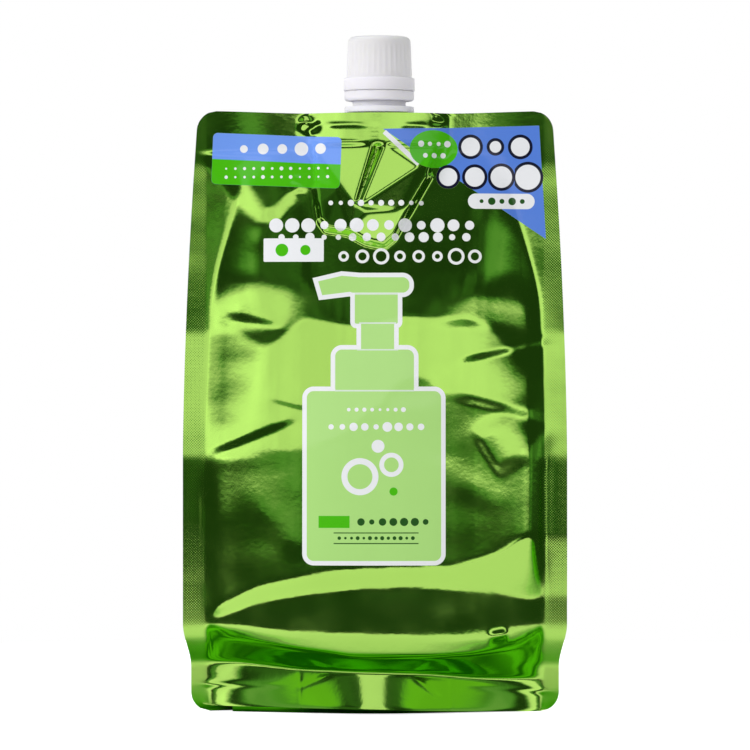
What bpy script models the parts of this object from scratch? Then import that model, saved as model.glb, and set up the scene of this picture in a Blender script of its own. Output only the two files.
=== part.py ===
"""Hand soap refill pack: a filled stand-up pouch of metallised film with a welded spout and a screw cap.

The pack stands on its opened bottom fold with its front face towards -Y. Heights are measured up from
the table, and the film's middle is the model's upright axis. All sizes are in metres.
"""

import math

import bmesh
import bpy
from mathutils import Vector

# Film pouch
FILM_HEIGHT = 0.2802
BODY_WIDTH = 0.180
TOP_WIDTH = 0.166
BASE_WIDTH = 0.1725
FOOT_LOW = 0.021
FOOT_HIGH = 0.041
TAPER_START = 0.115
TAPER_POWER = 1.8
TOP_CORNER = 0.0085
BASE_CORNER = 0.009
TOP_EDGE_RISE = 0.0012
SIDE_SEAL = 0.0105
TOP_SEAL = 0.0185
FIN_THICKNESS = 0.0006
BODY_DEPTH = 0.0466
BASE_DEPTH = 0.052
CREASE_DEPTH = 0.031
LENS_POWER = 2.8
HEM_HEIGHT = 0.0185
HEM_REACH = 0.080
HEM_NOSE = 0.022
CREASE_PINCH = 1.5
FOOT_TOP = 0.0275
HEM_LIFT = 0.0028
HEM_THICKNESS = 0.0008
GROOVE_WIDTH = 0.0016
GROOVE_DEPTH = 0.012
BELLY_INSET = 0.005
BELLY_ROUNDING = 0.0012

# Half depth along the middle of the pouch, as shares of its height above the foot and of its deepest
DEPTH_STATIONS = (
    (0.000, 0.945),
    (0.040, 0.985),
    (0.136, 0.960),
    (0.175, 1.000),
    (0.480, 0.925),
    (0.575, 0.865),
    (0.663, 0.780),
    (0.830, 0.372),
    (0.924, 0.160),
    (1.000, 0.000),
)
# How far behind the middle plane the side seals bend, by height
SEAL_LINE = (
    (0.000, 0.0000),
    (0.020, 0.0000),
    (0.044, -0.0003),
    (0.119, -0.0024),
    (0.177, 0.0016),
    (0.262, 0.0002),
    (0.283, 0.0000),
)
SEAL_BEND_START = 0.6
# How far the bulge's folds drop towards the left seal and rise towards the right one
FOLD_DROP_LEFT = 0.016
FOLD_RISE_RIGHT = 0.019

# Folds of the front film below the spout
TENT_APEX_HEIGHT = 0.2195
TENT_APEX_OFFSET = 0.006
TENT_APEX_WIDTH = 0.006
TENT_MARGIN = 0.0035
FOLD_SHARPNESS = 7.0

# Spout: weld base, stem, flange and neck, welded in a little to the right of the film's middle
SPOUT_OFFSET = 0.002
BOAT_LENGTH = 0.060
BOAT_DEPTH = 0.020
BOAT_HEIGHT = 0.0145
BOAT_RIB_DEPTH = 0.0006
BOAT_RIBS = 4
BOAT_BORE = 0.016
STEM_DIAMETER = 0.0188
FLANGE_DIAMETER = 0.0326
FLANGE_THICKNESS = 0.0026
FLANGE_GAP = 0.0004
NECK_DIAMETER = 0.025
NECK_WALL = 0.0013
NECK_HEIGHT = 0.0297
BEAD_DIAMETER = 0.0266
BEAD_HEIGHT = 0.0012
MOUTH_FLOOR = 0.0012

# Tamper ring, which stays on the neck when the cap is first turned
RING_DIAMETER = 0.0326
RING_HEIGHT = 0.0044
RING_CHAMFER = 0.0005

# Cap
CAP_TOP_DIAMETER = 0.0292
CAP_GRIP_DIAMETER = 0.0306
CAP_SKIRT_DIAMETER = 0.0332
CAP_SKIRT_HEIGHT = 0.0060
CAP_HEIGHT = 0.0254
CAP_CROWN = 0.0018
CAP_TOP_ROUNDING = 0.0025
CAP_BORE = 0.0274
CAP_RIBS = 36
CAP_RIB_RELIEF = 0.0003
CAP_RIB_TOP_MARGIN = 0.0035
LINER_DIAMETER = 0.0264
LINER_THICKNESS = 0.0008

CLEARANCE = 0.0003
TURN_STEPS = 72
BOAT_STEPS = 40

FILM_COLUMNS = 30
FIN_COLUMNS = 1
HEM_ROWS = 4
FOOT_ROWS = 2
BODY_ROWS = 32
SEAL_ROWS = 6

BOAT_TOP = FILM_HEIGHT - CLEARANCE
BOAT_BOTTOM = BOAT_TOP - BOAT_HEIGHT
FLANGE_BOTTOM = FILM_HEIGHT + FLANGE_GAP
FLANGE_TOP = FLANGE_BOTTOM + FLANGE_THICKNESS
NECK_TOP = FLANGE_TOP + NECK_HEIGHT
LINER_BOTTOM = NECK_TOP + CLEARANCE
CAP_CEILING = LINER_BOTTOM + LINER_THICKNESS + CLEARANCE
CAP_TOP = CAP_CEILING + CAP_CROWN
CAP_BOTTOM = CAP_TOP - CAP_HEIGHT
RING_TOP = CAP_BOTTOM - CLEARANCE
RING_BOTTOM = RING_TOP - RING_HEIGHT
SEAL_BOTTOM = FILM_HEIGHT - TOP_SEAL


def material(name, colour, roughness, metallic=0.0):
    """A plain finish for one kind of piece."""
    made = bpy.data.materials.new(name)
    made.use_nodes = True
    shader = made.node_tree.nodes["Principled BSDF"]
    shader.inputs["Base Color"].default_value = (*colour, 1.0)
    shader.inputs["Roughness"].default_value = roughness
    shader.inputs["Metallic"].default_value = metallic
    made.diffuse_color = (*colour, 1.0)
    return made


def finished(name, bm, finish):
    """Turns a bmesh into a named object with its faces pointing out and its round parts smooth."""
    bmesh.ops.recalc_face_normals(bm, faces=bm.faces)
    if bm.calc_volume(signed=True) < 0.0:
        bmesh.ops.reverse_faces(bm, faces=bm.faces)
    mesh = bpy.data.meshes.new(name)
    bm.to_mesh(mesh)
    bm.free()
    mesh.shade_smooth()
    mesh.set_sharp_from_angle(angle=math.radians(30))
    mesh.materials.append(finish)
    made = bpy.data.objects.new(name, mesh)
    bpy.context.scene.collection.objects.link(made)
    return made


def eased(value):
    """A smooth step from 0 to 1."""
    value = min(max(value, 0.0), 1.0)
    return value * value * (3.0 - 2.0 * value)


def through(stations, at):
    """A smooth curve through the stations, read at one place."""
    last = len(stations) - 1
    at = min(max(at, stations[0][0]), stations[last][0])
    slopes = []
    for i in range(last + 1):
        low = stations[max(i - 1, 0)]
        high = stations[min(i + 1, last)]
        slopes.append((high[1] - low[1]) / (high[0] - low[0]))
    for i in range(last):
        start, value = stations[i]
        end, target = stations[i + 1]
        if at <= end:
            span = end - start
            s = (at - start) / span
            keep = (1.0 + 2.0 * s) * (1.0 - s) ** 2
            reach = s * s * (3.0 - 2.0 * s)
            leave = s * (1.0 - s) ** 2 * span * slopes[i]
            arrive = s * s * (s - 1.0) * span * slopes[i + 1]
            return keep * value + reach * target + leave + arrive
    return stations[last][1]


def edge_half_width(height):
    """Half the film's width at a height, without the rounded corners."""
    foot = eased((height - FOOT_LOW) / (FOOT_HIGH - FOOT_LOW))
    half = 0.5 * (BASE_WIDTH + (BODY_WIDTH - BASE_WIDTH) * foot)
    taper = max(height - TAPER_START, 0.0) / (FILM_HEIGHT - TAPER_START)
    return half - 0.5 * (BODY_WIDTH - TOP_WIDTH) * taper**TAPER_POWER


def corner_cut(distance, radius):
    """How far a rounded corner draws the side in, at a distance from the end of the film."""
    if distance >= radius:
        return 0.0
    return radius - math.sqrt(radius**2 - (radius - distance) ** 2)


def half_width(height):
    """Half the film's width at a height."""
    top = corner_cut(FILM_HEIGHT - height, TOP_CORNER)
    base = corner_cut(height, BASE_CORNER)
    return edge_half_width(height) - top - base


def lens(x, height):
    """The crowned section between the side seals, 1 in the middle and 0 at the seals."""
    reach = min(abs(x) / (edge_half_width(height) - SIDE_SEAL), 1.0)
    return 1.0 - reach**LENS_POWER


def seal_bend(x, height):
    """How far the pouch bends back towards its side seals."""
    reach = min(abs(x) / (edge_half_width(height) - SIDE_SEAL), 1.0)
    return eased((reach - SEAL_BEND_START) / (1.0 - SEAL_BEND_START)) * through(SEAL_LINE, height)


def fold_shift(x):
    """How much lower or higher the bulge's folds run than in the middle."""
    side = x / (0.5 * BODY_WIDTH)
    if side < 0.0:
        return -FOLD_DROP_LEFT * side * side
    return FOLD_RISE_RIGHT * side**3


def hem_outline(x):
    """The hem's outline seen from above: 1 at its rounded nose, then nearly straight to 0 at its ends."""
    tip = math.hypot(HEM_REACH, HEM_NOSE) - HEM_NOSE
    return max(1.0 - (math.hypot(x, HEM_NOSE) - HEM_NOSE) / tip, 0.0)


def middle_depth(x, height):
    """Half the depth of the bag at the middle of its section, above the foot."""
    span = SEAL_BOTTOM - FOOT_TOP
    share = (height - FOOT_TOP) / span
    hold = 4.0 * share * (1.0 - share)
    share -= fold_shift(x) / span * min(hold, 1.0) * (1.0 - share)
    return 0.5 * BODY_DEPTH * through(DEPTH_STATIONS, share)


def bag_depth(x, height):
    """Half the depth of the filled bag: hem, drawn-in crease above it, foot and body."""
    if height >= SEAL_BOTTOM:
        return 0.0
    if height >= FOOT_TOP:
        return middle_depth(x, height) * lens(x, height)
    outline = hem_outline(x)
    crease = 0.5 * CREASE_DEPTH * outline**CREASE_PINCH
    if height < HEM_HEIGHT:
        return crease + (0.5 * BASE_DEPTH * outline - crease) * (1.0 - height / HEM_HEIGHT)
    body = middle_depth(x, FOOT_TOP) * lens(x, FOOT_TOP)
    return crease + (body - crease) * (height - HEM_HEIGHT) / (FOOT_TOP - HEM_HEIGHT)


def arc_depth(x, half_length, half_depth):
    """Half depth of a canoe shape whose two sides are arcs that meet at its tips."""
    x = min(abs(x), half_length)
    radius = (half_length**2 + half_depth**2) / (2.0 * half_depth)
    return math.sqrt(radius**2 - x**2) - (radius - half_depth)


def tent_depth(x, height):
    """Half depth of the film where it is held apart by the spout's weld base and falls in folds below it."""
    half_length = 0.5 * BOAT_LENGTH + TENT_MARGIN
    half_depth = 0.5 * BOAT_DEPTH + CLEARANCE + HEM_THICKNESS
    x -= SPOUT_OFFSET
    if height >= BOAT_BOTTOM:
        return arc_depth(x, half_length, half_depth)
    fall = (BOAT_BOTTOM - height) / (BOAT_BOTTOM - TENT_APEX_HEIGHT)
    if fall >= 1.0:
        return 0.0
    middle = TENT_APEX_OFFSET * fall
    reach = half_length + (0.5 * TENT_APEX_WIDTH - half_length) * fall
    out = min(abs(x - middle) / reach, 1.0)
    crown = middle_depth(middle, TENT_APEX_HEIGHT)
    ridge = half_depth + (crown - half_depth) * fall
    round_top = arc_depth(out * half_length, half_length, half_depth) / half_depth
    return ridge * (round_top + (1.0 - out - round_top) * eased(2.0 * fall))


def film_depth(x, height):
    """Half the depth of the pouch at one place of its front or back."""
    bag = bag_depth(x, height)
    tent = tent_depth(x, height)
    parts = max(bag, 0.0) ** FOLD_SHARPNESS + max(tent, 0.0) ** FOLD_SHARPNESS
    joined = parts ** (1.0 / FOLD_SHARPNESS)
    return 0.5 * FIN_THICKNESS + joined


def column_place(column, height):
    """Sideways place of a column of the film, whose outer columns run in the side seals."""
    width = half_width(height)
    inner = max(width - SIDE_SEAL, 0.0)
    half = FILM_COLUMNS // 2
    if abs(column) <= half:
        return inner * column / half
    out = inner + (width - inner) * (abs(column) - half) / FIN_COLUMNS
    return math.copysign(out, column)


def row_height(row):
    """Height of a row of the film: rows are even within the hem, the foot, the body and the top seal."""
    low = 0.0
    for rows, high in (
        (HEM_ROWS, HEM_HEIGHT),
        (FOOT_ROWS, FOOT_TOP),
        (BODY_ROWS, SEAL_BOTTOM),
        (SEAL_ROWS, FILM_HEIGHT),
    ):
        if row <= rows:
            return low + (high - low) * row / rows
        row -= rows
        low = high
    return low


def hem_rise(x, height):
    """How far the front hem's left part lifts off the table."""
    side = 0.5 * (1.0 - x / (0.5 * BASE_WIDTH))
    return HEM_LIFT * eased(1.6 * side) * max(1.0 - height / FOOT_HIGH, 0.0)


def top_edge_rise(x, height):
    """How far the film's top corners stand above its middle."""
    side = eased((abs(x - SPOUT_OFFSET) - 0.5 * BOAT_LENGTH) / (0.5 * TOP_WIDTH - 0.5 * BOAT_LENGTH))
    return TOP_EDGE_RISE * side * max(height - SEAL_BOTTOM, 0.0) / TOP_SEAL


def pouch_blank():
    """A slab of two film layers as a grid of columns and rows, joined round its rim."""
    columns = FILM_COLUMNS + 2 * FIN_COLUMNS
    rows = HEM_ROWS + FOOT_ROWS + BODY_ROWS + SEAL_ROWS
    bm = bmesh.new()
    bmesh.ops.create_grid(bm, x_segments=columns, y_segments=rows, size=1.0)
    place = bm.verts.layers.int.new("column")
    level = bm.verts.layers.int.new("row")
    back = bm.verts.layers.int.new("back")
    rim = bm.verts.layers.float_vector.new("rim")
    for vert in bm.verts:
        vert[place] = round(vert.co.x * 0.5 * columns)
        vert[level] = round((vert.co.y + 1.0) * 0.5 * rows)
    grown = bmesh.ops.extrude_face_region(bm, geom=bm.faces[:])
    for item in grown["geom"]:
        if isinstance(item, bmesh.types.BMVert):
            item[back] = 1
    return bm, place, level, back, rim


def shape_film(bm, place, level, back, rim):
    """Moves the slab's points to the front and back of the filled pouch."""
    for vert in bm.verts:
        height = row_height(vert[level])
        x = column_place(vert[place], height)
        y = film_depth(x, height)
        middle = seal_bend(x, height)
        z = height + top_edge_rise(x, height)
        if vert[back]:
            vert.co = Vector((x, middle + y, z))
        else:
            vert.co = Vector((x, middle - y, z + hem_rise(x, height)))
        vert[rim] = vert.co


def open_base(bm, place, level, rim):
    """Sinks the groove between the hems and the fold of film that the pack rests on."""
    half = FILM_COLUMNS // 2
    strip = [
        face
        for face in bm.faces
        if all(v[level] == 0 and abs(v[place]) <= half for v in face.verts)
    ]
    half_length = 0.5 * BASE_WIDTH - BASE_CORNER - SIDE_SEAL
    half_depth = 0.5 * (BASE_DEPTH + FIN_THICKNESS)
    belly = HEM_THICKNESS + GROOVE_WIDTH
    rings = (
        (HEM_THICKNESS, 0.0),
        (HEM_THICKNESS, GROOVE_DEPTH),
        (belly, GROOVE_DEPTH),
        (belly, BELLY_ROUNDING),
        (belly + BELLY_INSET, 0.0),
    )
    for count, (inset, height) in enumerate(rings):
        grown = bmesh.ops.extrude_face_region(bm, geom=strip)["geom"]
        bmesh.ops.delete(bm, geom=strip, context="FACES")
        strip = [item for item in grown if isinstance(item, bmesh.types.BMFace)]
        for vert in (item for item in grown if isinstance(item, bmesh.types.BMVert)):
            outer = vert[rim]
            drawn_in = film_depth(outer.x, GROOVE_DEPTH) / film_depth(outer.x, 0.0) if count else 1.0
            x = outer.x * (1.0 - inset / half_length)
            y = outer.y * drawn_in * (1.0 - inset / half_depth)
            vert.co = Vector((x, y, height if count else outer.z))


def canoe_point(angle, half_length, half_depth):
    """A point of the weld base's outline, seen from above."""
    x = half_length * math.cos(angle)
    y = arc_depth(x, half_length, half_depth)
    return x, math.copysign(y, math.sin(angle))


def canoe(half_length, half_depth):
    """The outline of a canoe shape."""
    return lambda angle: canoe_point(angle, half_length, half_depth)


def circle(diameter):
    """The outline of a circle."""
    return lambda angle: (0.5 * diameter * math.cos(angle), 0.5 * diameter * math.sin(angle))


def loft(sections):
    """Draws a ring through outlines at their heights, from the first section to the last."""
    bm = bmesh.new()
    turn_angle = bm.verts.layers.float.new("angle")
    verts = bmesh.ops.create_circle(bm, segments=BOAT_STEPS, radius=1.0)["verts"]
    edges = bm.edges[:]
    for vert in verts:
        vert[turn_angle] = math.atan2(vert.co.y, vert.co.x)
    for count, (outline, height) in enumerate(sections):
        if count:
            grown = bmesh.ops.extrude_edge_only(bm, edges=edges)["geom"]
            verts = [item for item in grown if isinstance(item, bmesh.types.BMVert)]
            edges = [item for item in grown if isinstance(item, bmesh.types.BMEdge)]
        for vert in verts:
            x, y = outline(vert[turn_angle])
            vert.co = Vector((SPOUT_OFFSET + x, y, height))
    return bm


def cut_weld_pocket(pouch):
    """Cuts the room that the spout's weld base takes between the two films."""
    outline = canoe(0.5 * BOAT_LENGTH + CLEARANCE, 0.5 * BOAT_DEPTH + CLEARANCE)
    bm = loft([(outline, BOAT_BOTTOM - CLEARANCE), (outline, NECK_TOP)])
    bmesh.ops.holes_fill(bm, edges=bm.edges[:], sides=BOAT_STEPS)
    cutter = finished("weld_pocket", bm, pouch.data.materials[0])
    cutter.hide_render = True
    cutter.display_type = "WIRE"
    cut = pouch.modifiers.new("weld pocket", "BOOLEAN")
    cut.operation = "DIFFERENCE"
    cut.solver = "EXACT"
    cut.object = cutter


def make_pouch(film):
    """The filled and sealed bag, with the spout's weld base let into its top seal."""
    bm, place, level, back, rim = pouch_blank()
    shape_film(bm, place, level, back, rim)
    open_base(bm, place, level, rim)
    pouch = finished("pouch", bm, film)
    cut_weld_pocket(pouch)
    return pouch


def make_spout(plastic):
    """The welded spout: ribbed canoe base, stem, flange and neck, with one bore through them all."""
    boat_length, boat_depth = 0.5 * BOAT_LENGTH, 0.5 * BOAT_DEPTH
    full = canoe(boat_length, boat_depth)
    waist = canoe(boat_length - BOAT_RIB_DEPTH, boat_depth - BOAT_RIB_DEPTH)
    sections = [(circle(BOAT_BORE), BOAT_BOTTOM)]
    bands = 2 * BOAT_RIBS - 1
    for band in range(bands):
        outline = waist if band % 2 else full
        for end in (0, 1):
            sections.append((outline, BOAT_BOTTOM + BOAT_HEIGHT * (band + end) / bands))
    mouth = NECK_DIAMETER - 2.0 * NECK_WALL
    bead_low = RING_TOP + CLEARANCE
    turned = (
        (STEM_DIAMETER, BOAT_TOP),
        (STEM_DIAMETER, FLANGE_BOTTOM),
        (FLANGE_DIAMETER, FLANGE_BOTTOM),
        (FLANGE_DIAMETER, FLANGE_TOP),
        (NECK_DIAMETER, FLANGE_TOP),
        (NECK_DIAMETER, bead_low),
        (BEAD_DIAMETER, bead_low),
        (BEAD_DIAMETER, bead_low + 0.5 * BEAD_HEIGHT),
        (NECK_DIAMETER, bead_low + BEAD_HEIGHT),
        (NECK_DIAMETER, NECK_TOP - 0.5 * NECK_WALL),
        (NECK_DIAMETER - NECK_WALL, NECK_TOP),
        (mouth, NECK_TOP),
        (mouth, FLANGE_TOP + MOUTH_FLOOR),
        (BOAT_BORE, FLANGE_TOP - MOUTH_FLOOR),
        (BOAT_BORE, BOAT_BOTTOM),
    )
    sections += [(circle(diameter), height) for diameter, height in turned]
    bm = loft(sections)
    bmesh.ops.remove_doubles(bm, verts=bm.verts[:], dist=1e-6)
    return finished("spout", bm, plastic)


def turn(profile, ripple=None):
    """A closed profile of radius and height, spun round the spout's axis."""
    bm = bmesh.new()
    ring = [bm.verts.new((radius, 0.0, height)) for radius, height in profile]
    for first, second in zip(ring, ring[1:] + ring[:1]):
        bm.edges.new((first, second))
    on_axis = [vert for vert in ring if vert.co.x == 0.0]
    bmesh.ops.spin(
        bm,
        geom=ring + bm.edges[:],
        axis=(0.0, 0.0, 1.0),
        cent=(0.0, 0.0, 0.0),
        angle=2.0 * math.pi,
        steps=TURN_STEPS,
        use_merge=True,
    )
    if on_axis:
        bmesh.ops.remove_doubles(bm, verts=bm.verts[:], dist=1e-6)
        bmesh.ops.dissolve_degenerate(bm, dist=1e-7, edges=bm.edges[:])
    if ripple:
        for vert in bm.verts:
            ripple(vert)
    bmesh.ops.translate(bm, vec=(SPOUT_OFFSET, 0.0, 0.0), verts=bm.verts[:])
    return bm


def make_ring(plastic):
    """The tamper ring, which the retaining bead keeps on the neck."""
    inner = 0.5 * NECK_DIAMETER + CLEARANCE
    outer = 0.5 * RING_DIAMETER
    profile = (
        (inner, RING_BOTTOM),
        (outer - RING_CHAMFER, RING_BOTTOM),
        (outer, RING_BOTTOM + RING_CHAMFER),
        (outer, RING_TOP),
        (inner, RING_TOP),
    )
    return finished("tamper_ring", turn(profile), plastic)


def cap_grip_radius(height):
    """The grip's radius, which narrows a little towards the top."""
    low = CAP_BOTTOM + CAP_SKIRT_HEIGHT
    share = (height - low) / (CAP_TOP - low)
    return 0.5 * (CAP_GRIP_DIAMETER + (CAP_TOP_DIAMETER - CAP_GRIP_DIAMETER) * share)


def make_cap(plastic):
    """The screw cap: ribbed grip, wider skirt, closed top and plain bore for the neck."""
    step = CAP_BOTTOM + CAP_SKIRT_HEIGHT
    rib_low = step + 2.0 * CAP_RIB_RELIEF
    rib_high = CAP_TOP - CAP_RIB_TOP_MARGIN
    skirt = 0.5 * CAP_SKIRT_DIAMETER
    bore = 0.5 * CAP_BORE
    profile = [(bore, CAP_BOTTOM), (skirt, CAP_BOTTOM), (skirt, step)]
    profile += [(cap_grip_radius(height), height) for height in (step, rib_low, rib_high)]
    shoulder = CAP_TOP - CAP_TOP_ROUNDING
    centre = cap_grip_radius(shoulder) - CAP_TOP_ROUNDING
    for part in range(4):
        angle = math.radians(30.0 * part)
        profile.append(
            (
                centre + CAP_TOP_ROUNDING * math.cos(angle),
                shoulder + CAP_TOP_ROUNDING * math.sin(angle),
            )
        )
    profile += [(0.0, CAP_TOP), (0.0, CAP_CEILING), (bore, CAP_CEILING)]

    def ribs(vert):
        """Sets back every second column of points along the grip."""
        grip = rib_low - CLEARANCE < vert.co.z < rib_high + CLEARANCE
        radius = math.hypot(vert.co.x, vert.co.y)
        if not grip or radius < bore + CLEARANCE:
            return
        angle = math.atan2(vert.co.y, vert.co.x) % (2.0 * math.pi)
        if round(angle / (math.pi / CAP_RIBS)) % 2:
            vert.co.x *= 1.0 - CAP_RIB_RELIEF / radius
            vert.co.y *= 1.0 - CAP_RIB_RELIEF / radius

    return finished("cap", turn(profile, ribs), plastic)


def make_liner(foam):
    """The thin disc inside the cap that seals the mouth of the spout."""
    radius = 0.5 * LINER_DIAMETER
    top = LINER_BOTTOM + LINER_THICKNESS
    profile = ((0.0, LINER_BOTTOM), (radius, LINER_BOTTOM), (radius, top), (0.0, top))
    return finished("cap_liner", turn(profile), foam)


def main():
    """Builds every piece of the pack where it lies when the pack is closed and standing."""
    for old in list(bpy.data.objects):
        bpy.data.objects.remove(old, do_unlink=True)
    film = material("green metallised film", (0.13, 0.33, 0.03), 0.18, 0.9)
    plastic = material("natural white plastic", (0.80, 0.79, 0.84), 0.35)
    foam = material("liner foam", (0.86, 0.86, 0.84), 0.6)
    make_pouch(film)
    make_spout(plastic)
    make_ring(plastic)
    make_cap(plastic)
    make_liner(foam)


main()
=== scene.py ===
"""Looks of the hand soap refill pack: metallised film with folds and print, spout and screw cap."""

import math

import bmesh
import bpy
import numpy as np
from mathutils import Matrix, Vector


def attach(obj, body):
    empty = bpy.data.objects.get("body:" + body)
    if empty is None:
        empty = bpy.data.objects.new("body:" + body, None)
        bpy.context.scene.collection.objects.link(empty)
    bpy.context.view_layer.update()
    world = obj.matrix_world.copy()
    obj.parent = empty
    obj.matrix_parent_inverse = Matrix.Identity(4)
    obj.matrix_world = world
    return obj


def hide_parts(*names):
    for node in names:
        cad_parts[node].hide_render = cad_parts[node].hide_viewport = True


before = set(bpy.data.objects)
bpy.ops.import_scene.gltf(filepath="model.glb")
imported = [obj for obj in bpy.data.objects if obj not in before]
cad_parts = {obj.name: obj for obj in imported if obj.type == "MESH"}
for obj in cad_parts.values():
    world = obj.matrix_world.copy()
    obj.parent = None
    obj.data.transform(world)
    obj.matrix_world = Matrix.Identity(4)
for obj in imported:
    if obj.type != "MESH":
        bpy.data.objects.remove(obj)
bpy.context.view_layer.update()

MM = 0.001

# Film pouch, in millimetres, measured from the middle of the base
FILM_HEIGHT = 280.2
BODY_WIDTH = 180.0
TOP_WIDTH = 166.0
BASE_WIDTH = 172.5
FOOT_LOW = 21.0
FOOT_HIGH = 41.0
TAPER_START = 115.0
TAPER_POWER = 1.8
TOP_CORNER = 8.5
BASE_CORNER = 9.0
TOP_EDGE_RISE = 1.2
SIDE_SEAL = 10.5
TOP_SEAL = 18.5
SEAL_BOTTOM = FILM_HEIGHT - TOP_SEAL
FIN = 0.3
HEM_LIFT = 2.8
BASE_DEPTH = 26.0
CREASE_DEPTH = 15.5
FOOT_DEPTH = 22.0
GROOVE_DEPTH = 12.0
GROOVE_SHARE = 0.84
GROOVE_WALL = 0.10
HEM_REACH = 80.0
HEM_NOSE = 22.0
CREASE_PINCH = 1.5

# Crowned section between the side seals: a higher power gives a flatter middle and steeper sides
LENS_POWER = 2.8
LENS_FLOOR = 0.22
CLOSING_POWER = 1.06

# Height above which the filled part narrows towards the spout, by a share, and its middle gets flatter
SHOULDER = 178.0
SHOULDER_RISE = 30.0
SHOULDER_TAPER = 0.16
SHOULDER_POWER = 2.0

# Weld base of the spout, in millimetres, which lies a little right of the film's middle
SPOUT_OFFSET = 2.0
BOAT_HALF_LENGTH = 30.0
BOAT_HALF_DEPTH = 10.0
BOAT_HEIGHT = 14.5
BOAT_TOP = FILM_HEIGHT - 0.3
BOAT_BOTTOM = BOAT_TOP - BOAT_HEIGHT
TENT_HALF_LENGTH = 33.5
TENT_HALF_DEPTH = 11.1

# The film below the weld base: how far down it eases into the bag, on the front only past
# this distance from the spout's axis and fully after this width, and on the back
DRAPE_FALL = 12.0
DRAPE_START = 26.0
DRAPE_WIDTH = 8.0
BACK_TENT_FALL = 46.0

# Folds that cross the front film, each as places along it: sideways and height
HEM_CREASE = (
    (-90, 23.2), (-63, 22.5), (-52, 21.1), (-35, 19.0), (-21, 18.5), (-7, 17.8), (26, 17.4),
    (45, 15.9), (90, 15.0),
)
FOOT_FOLD = (
    (-90, 36.0), (-63, 33.3), (-40, 30.0), (-21, 27.7), (-12, 26.3), (26, 26.3), (45, 27.2),
    (63, 29.5), (71, 31.0), (90, 33.5),
)
FOOT_EDGE = (
    (-90, 40.8), (-79, 40.4), (-60, 39.4), (-45, 37.5), (-7, 36.6), (47, 35.2), (57, 34.2),
    (65, 31.9), (73, 33.3), (78, 36.4), (90, 38.2),
)
ARC_LOW = (
    (-90, 43.6), (-79, 42.6), (-56, 51.6), (-35, 55.8), (-7, 59.1), (26, 60.0), (54, 57.2),
    (73, 53.0), (80, 53.0), (90, 55.8),
)
ARC_HIGH = (
    (-90, 50.0), (-79, 45.8), (-70, 52.0), (-54, 60.0), (-40, 62.8), (-21, 67.1), (0, 68.5),
    (34, 68.5), (58, 75.0), (71, 83.0), (90, 83.0),
)
BULGE_LOW = (
    (-90, 119.0), (-79, 116.8), (-60, 123.3), (-35, 123.3), (-12, 131.8), (12, 155.2), (20, 159.0),
    (34, 148.0), (60, 143.0), (90, 138.0),
)
BULGE_HIGH = (
    (-90, 177.3), (-74, 187.1), (-62, 175.9), (-50, 170.2), (-34, 183.4), (-9, 181.0), (12, 185.7),
    (30, 183.4), (42, 184.8), (51, 182.0), (60, 175.0), (66, 165.0), (74, 157.0), (90, 152.0),
)

# Each fold of the front film from the hem up, and how softly its line runs
FRONT_FOLDS = (
    (HEM_CREASE, 1.5),
    (FOOT_FOLD, 2.0),
    (FOOT_EDGE, 2.0),
    (ARC_LOW, 2.0),
    (ARC_HIGH, 2.0),
    (BULGE_LOW, 4.0),
    (BULGE_HIGH, 3.0),
)
# The same for the back film, which has plainer folds
BACK_FOLDS = (
    (((-90, 18.0), (90, 18.0)), 2.0),
    (((-90, 34.0), (0, 26.0), (90, 34.0)), 8.0),
    (((-90, 42.0), (0, 35.0), (90, 41.0)), 8.0),
    (((-90, 46.0), (-60, 52.0), (0, 61.0), (60, 54.0), (90, 46.0)), 6.0),
    (((-90, 52.0), (-60, 66.0), (0, 72.0), (60, 64.0), (90, 52.0)), 6.0),
    (((-90, 118.0), (-40, 128.0), (10, 140.0), (60, 124.0), (90, 122.0)), 6.0),
    (((-90, 178.0), (-30, 186.0), (30, 180.0), (90, 174.0)), 6.0),
)

# The crease along the hem below which it flares more, and how much of the flare lies above it
HEM_KNEE = ((-90, 11.0), (-50, 11.5), (-36, 18.5), (38, 17.4), (48, 13.5), (90, 8.5))
KNEE_SHARE = 0.85

# How far the film leans back in degrees, from the foot's fold up to the bulge's top: below 0 it faces down
LEANS = (-5.5, 1.0, -6.0, 1.5, 4.4)
WELD_LEAN = 1.0

# Where the side seals lie, as height and how far behind the middle plane
LEFT_SEAL = (
    (0, 0.3), (10, 0.0), (22, 0.0), (34, -2.0), (40, -2.4), (60, -2.4), (119, -3.0), (177, 1.4),
    (256, 1.4), (283, 0.0),
)
RIGHT_SEAL = (
    (0, 0.3), (10, 0.0), (22, 0.0), (34, -1.6), (40, -1.9), (54, -1.9), (82, -3.3), (119, -3.0),
    (177, 0.9), (256, 1.2), (283, 0.0),
)

# The share of the way out to a side seal at which the pack starts to bend with it
SWAY_START = 0.6

# Soft steps of the front film, which lean forward for a short way: both ends, width and height
STEPS = (
    ((-82, 119), (-32, 139), 5.0, 0.42),
    ((34, 163), (88, 175), 5.0, 0.42),
    ((-30, 141), (-52, 147), 3.0, 0.15),
    ((28, 150), (84, 136), 7.0, 0.44),
    ((44, 134), (60, 108), 5.0, 0.35),
    ((-72, 186), (-40, 180), 5.0, 0.30),
    ((-56, 226), (-26, 251), 9.0, 1.05),
)
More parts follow.
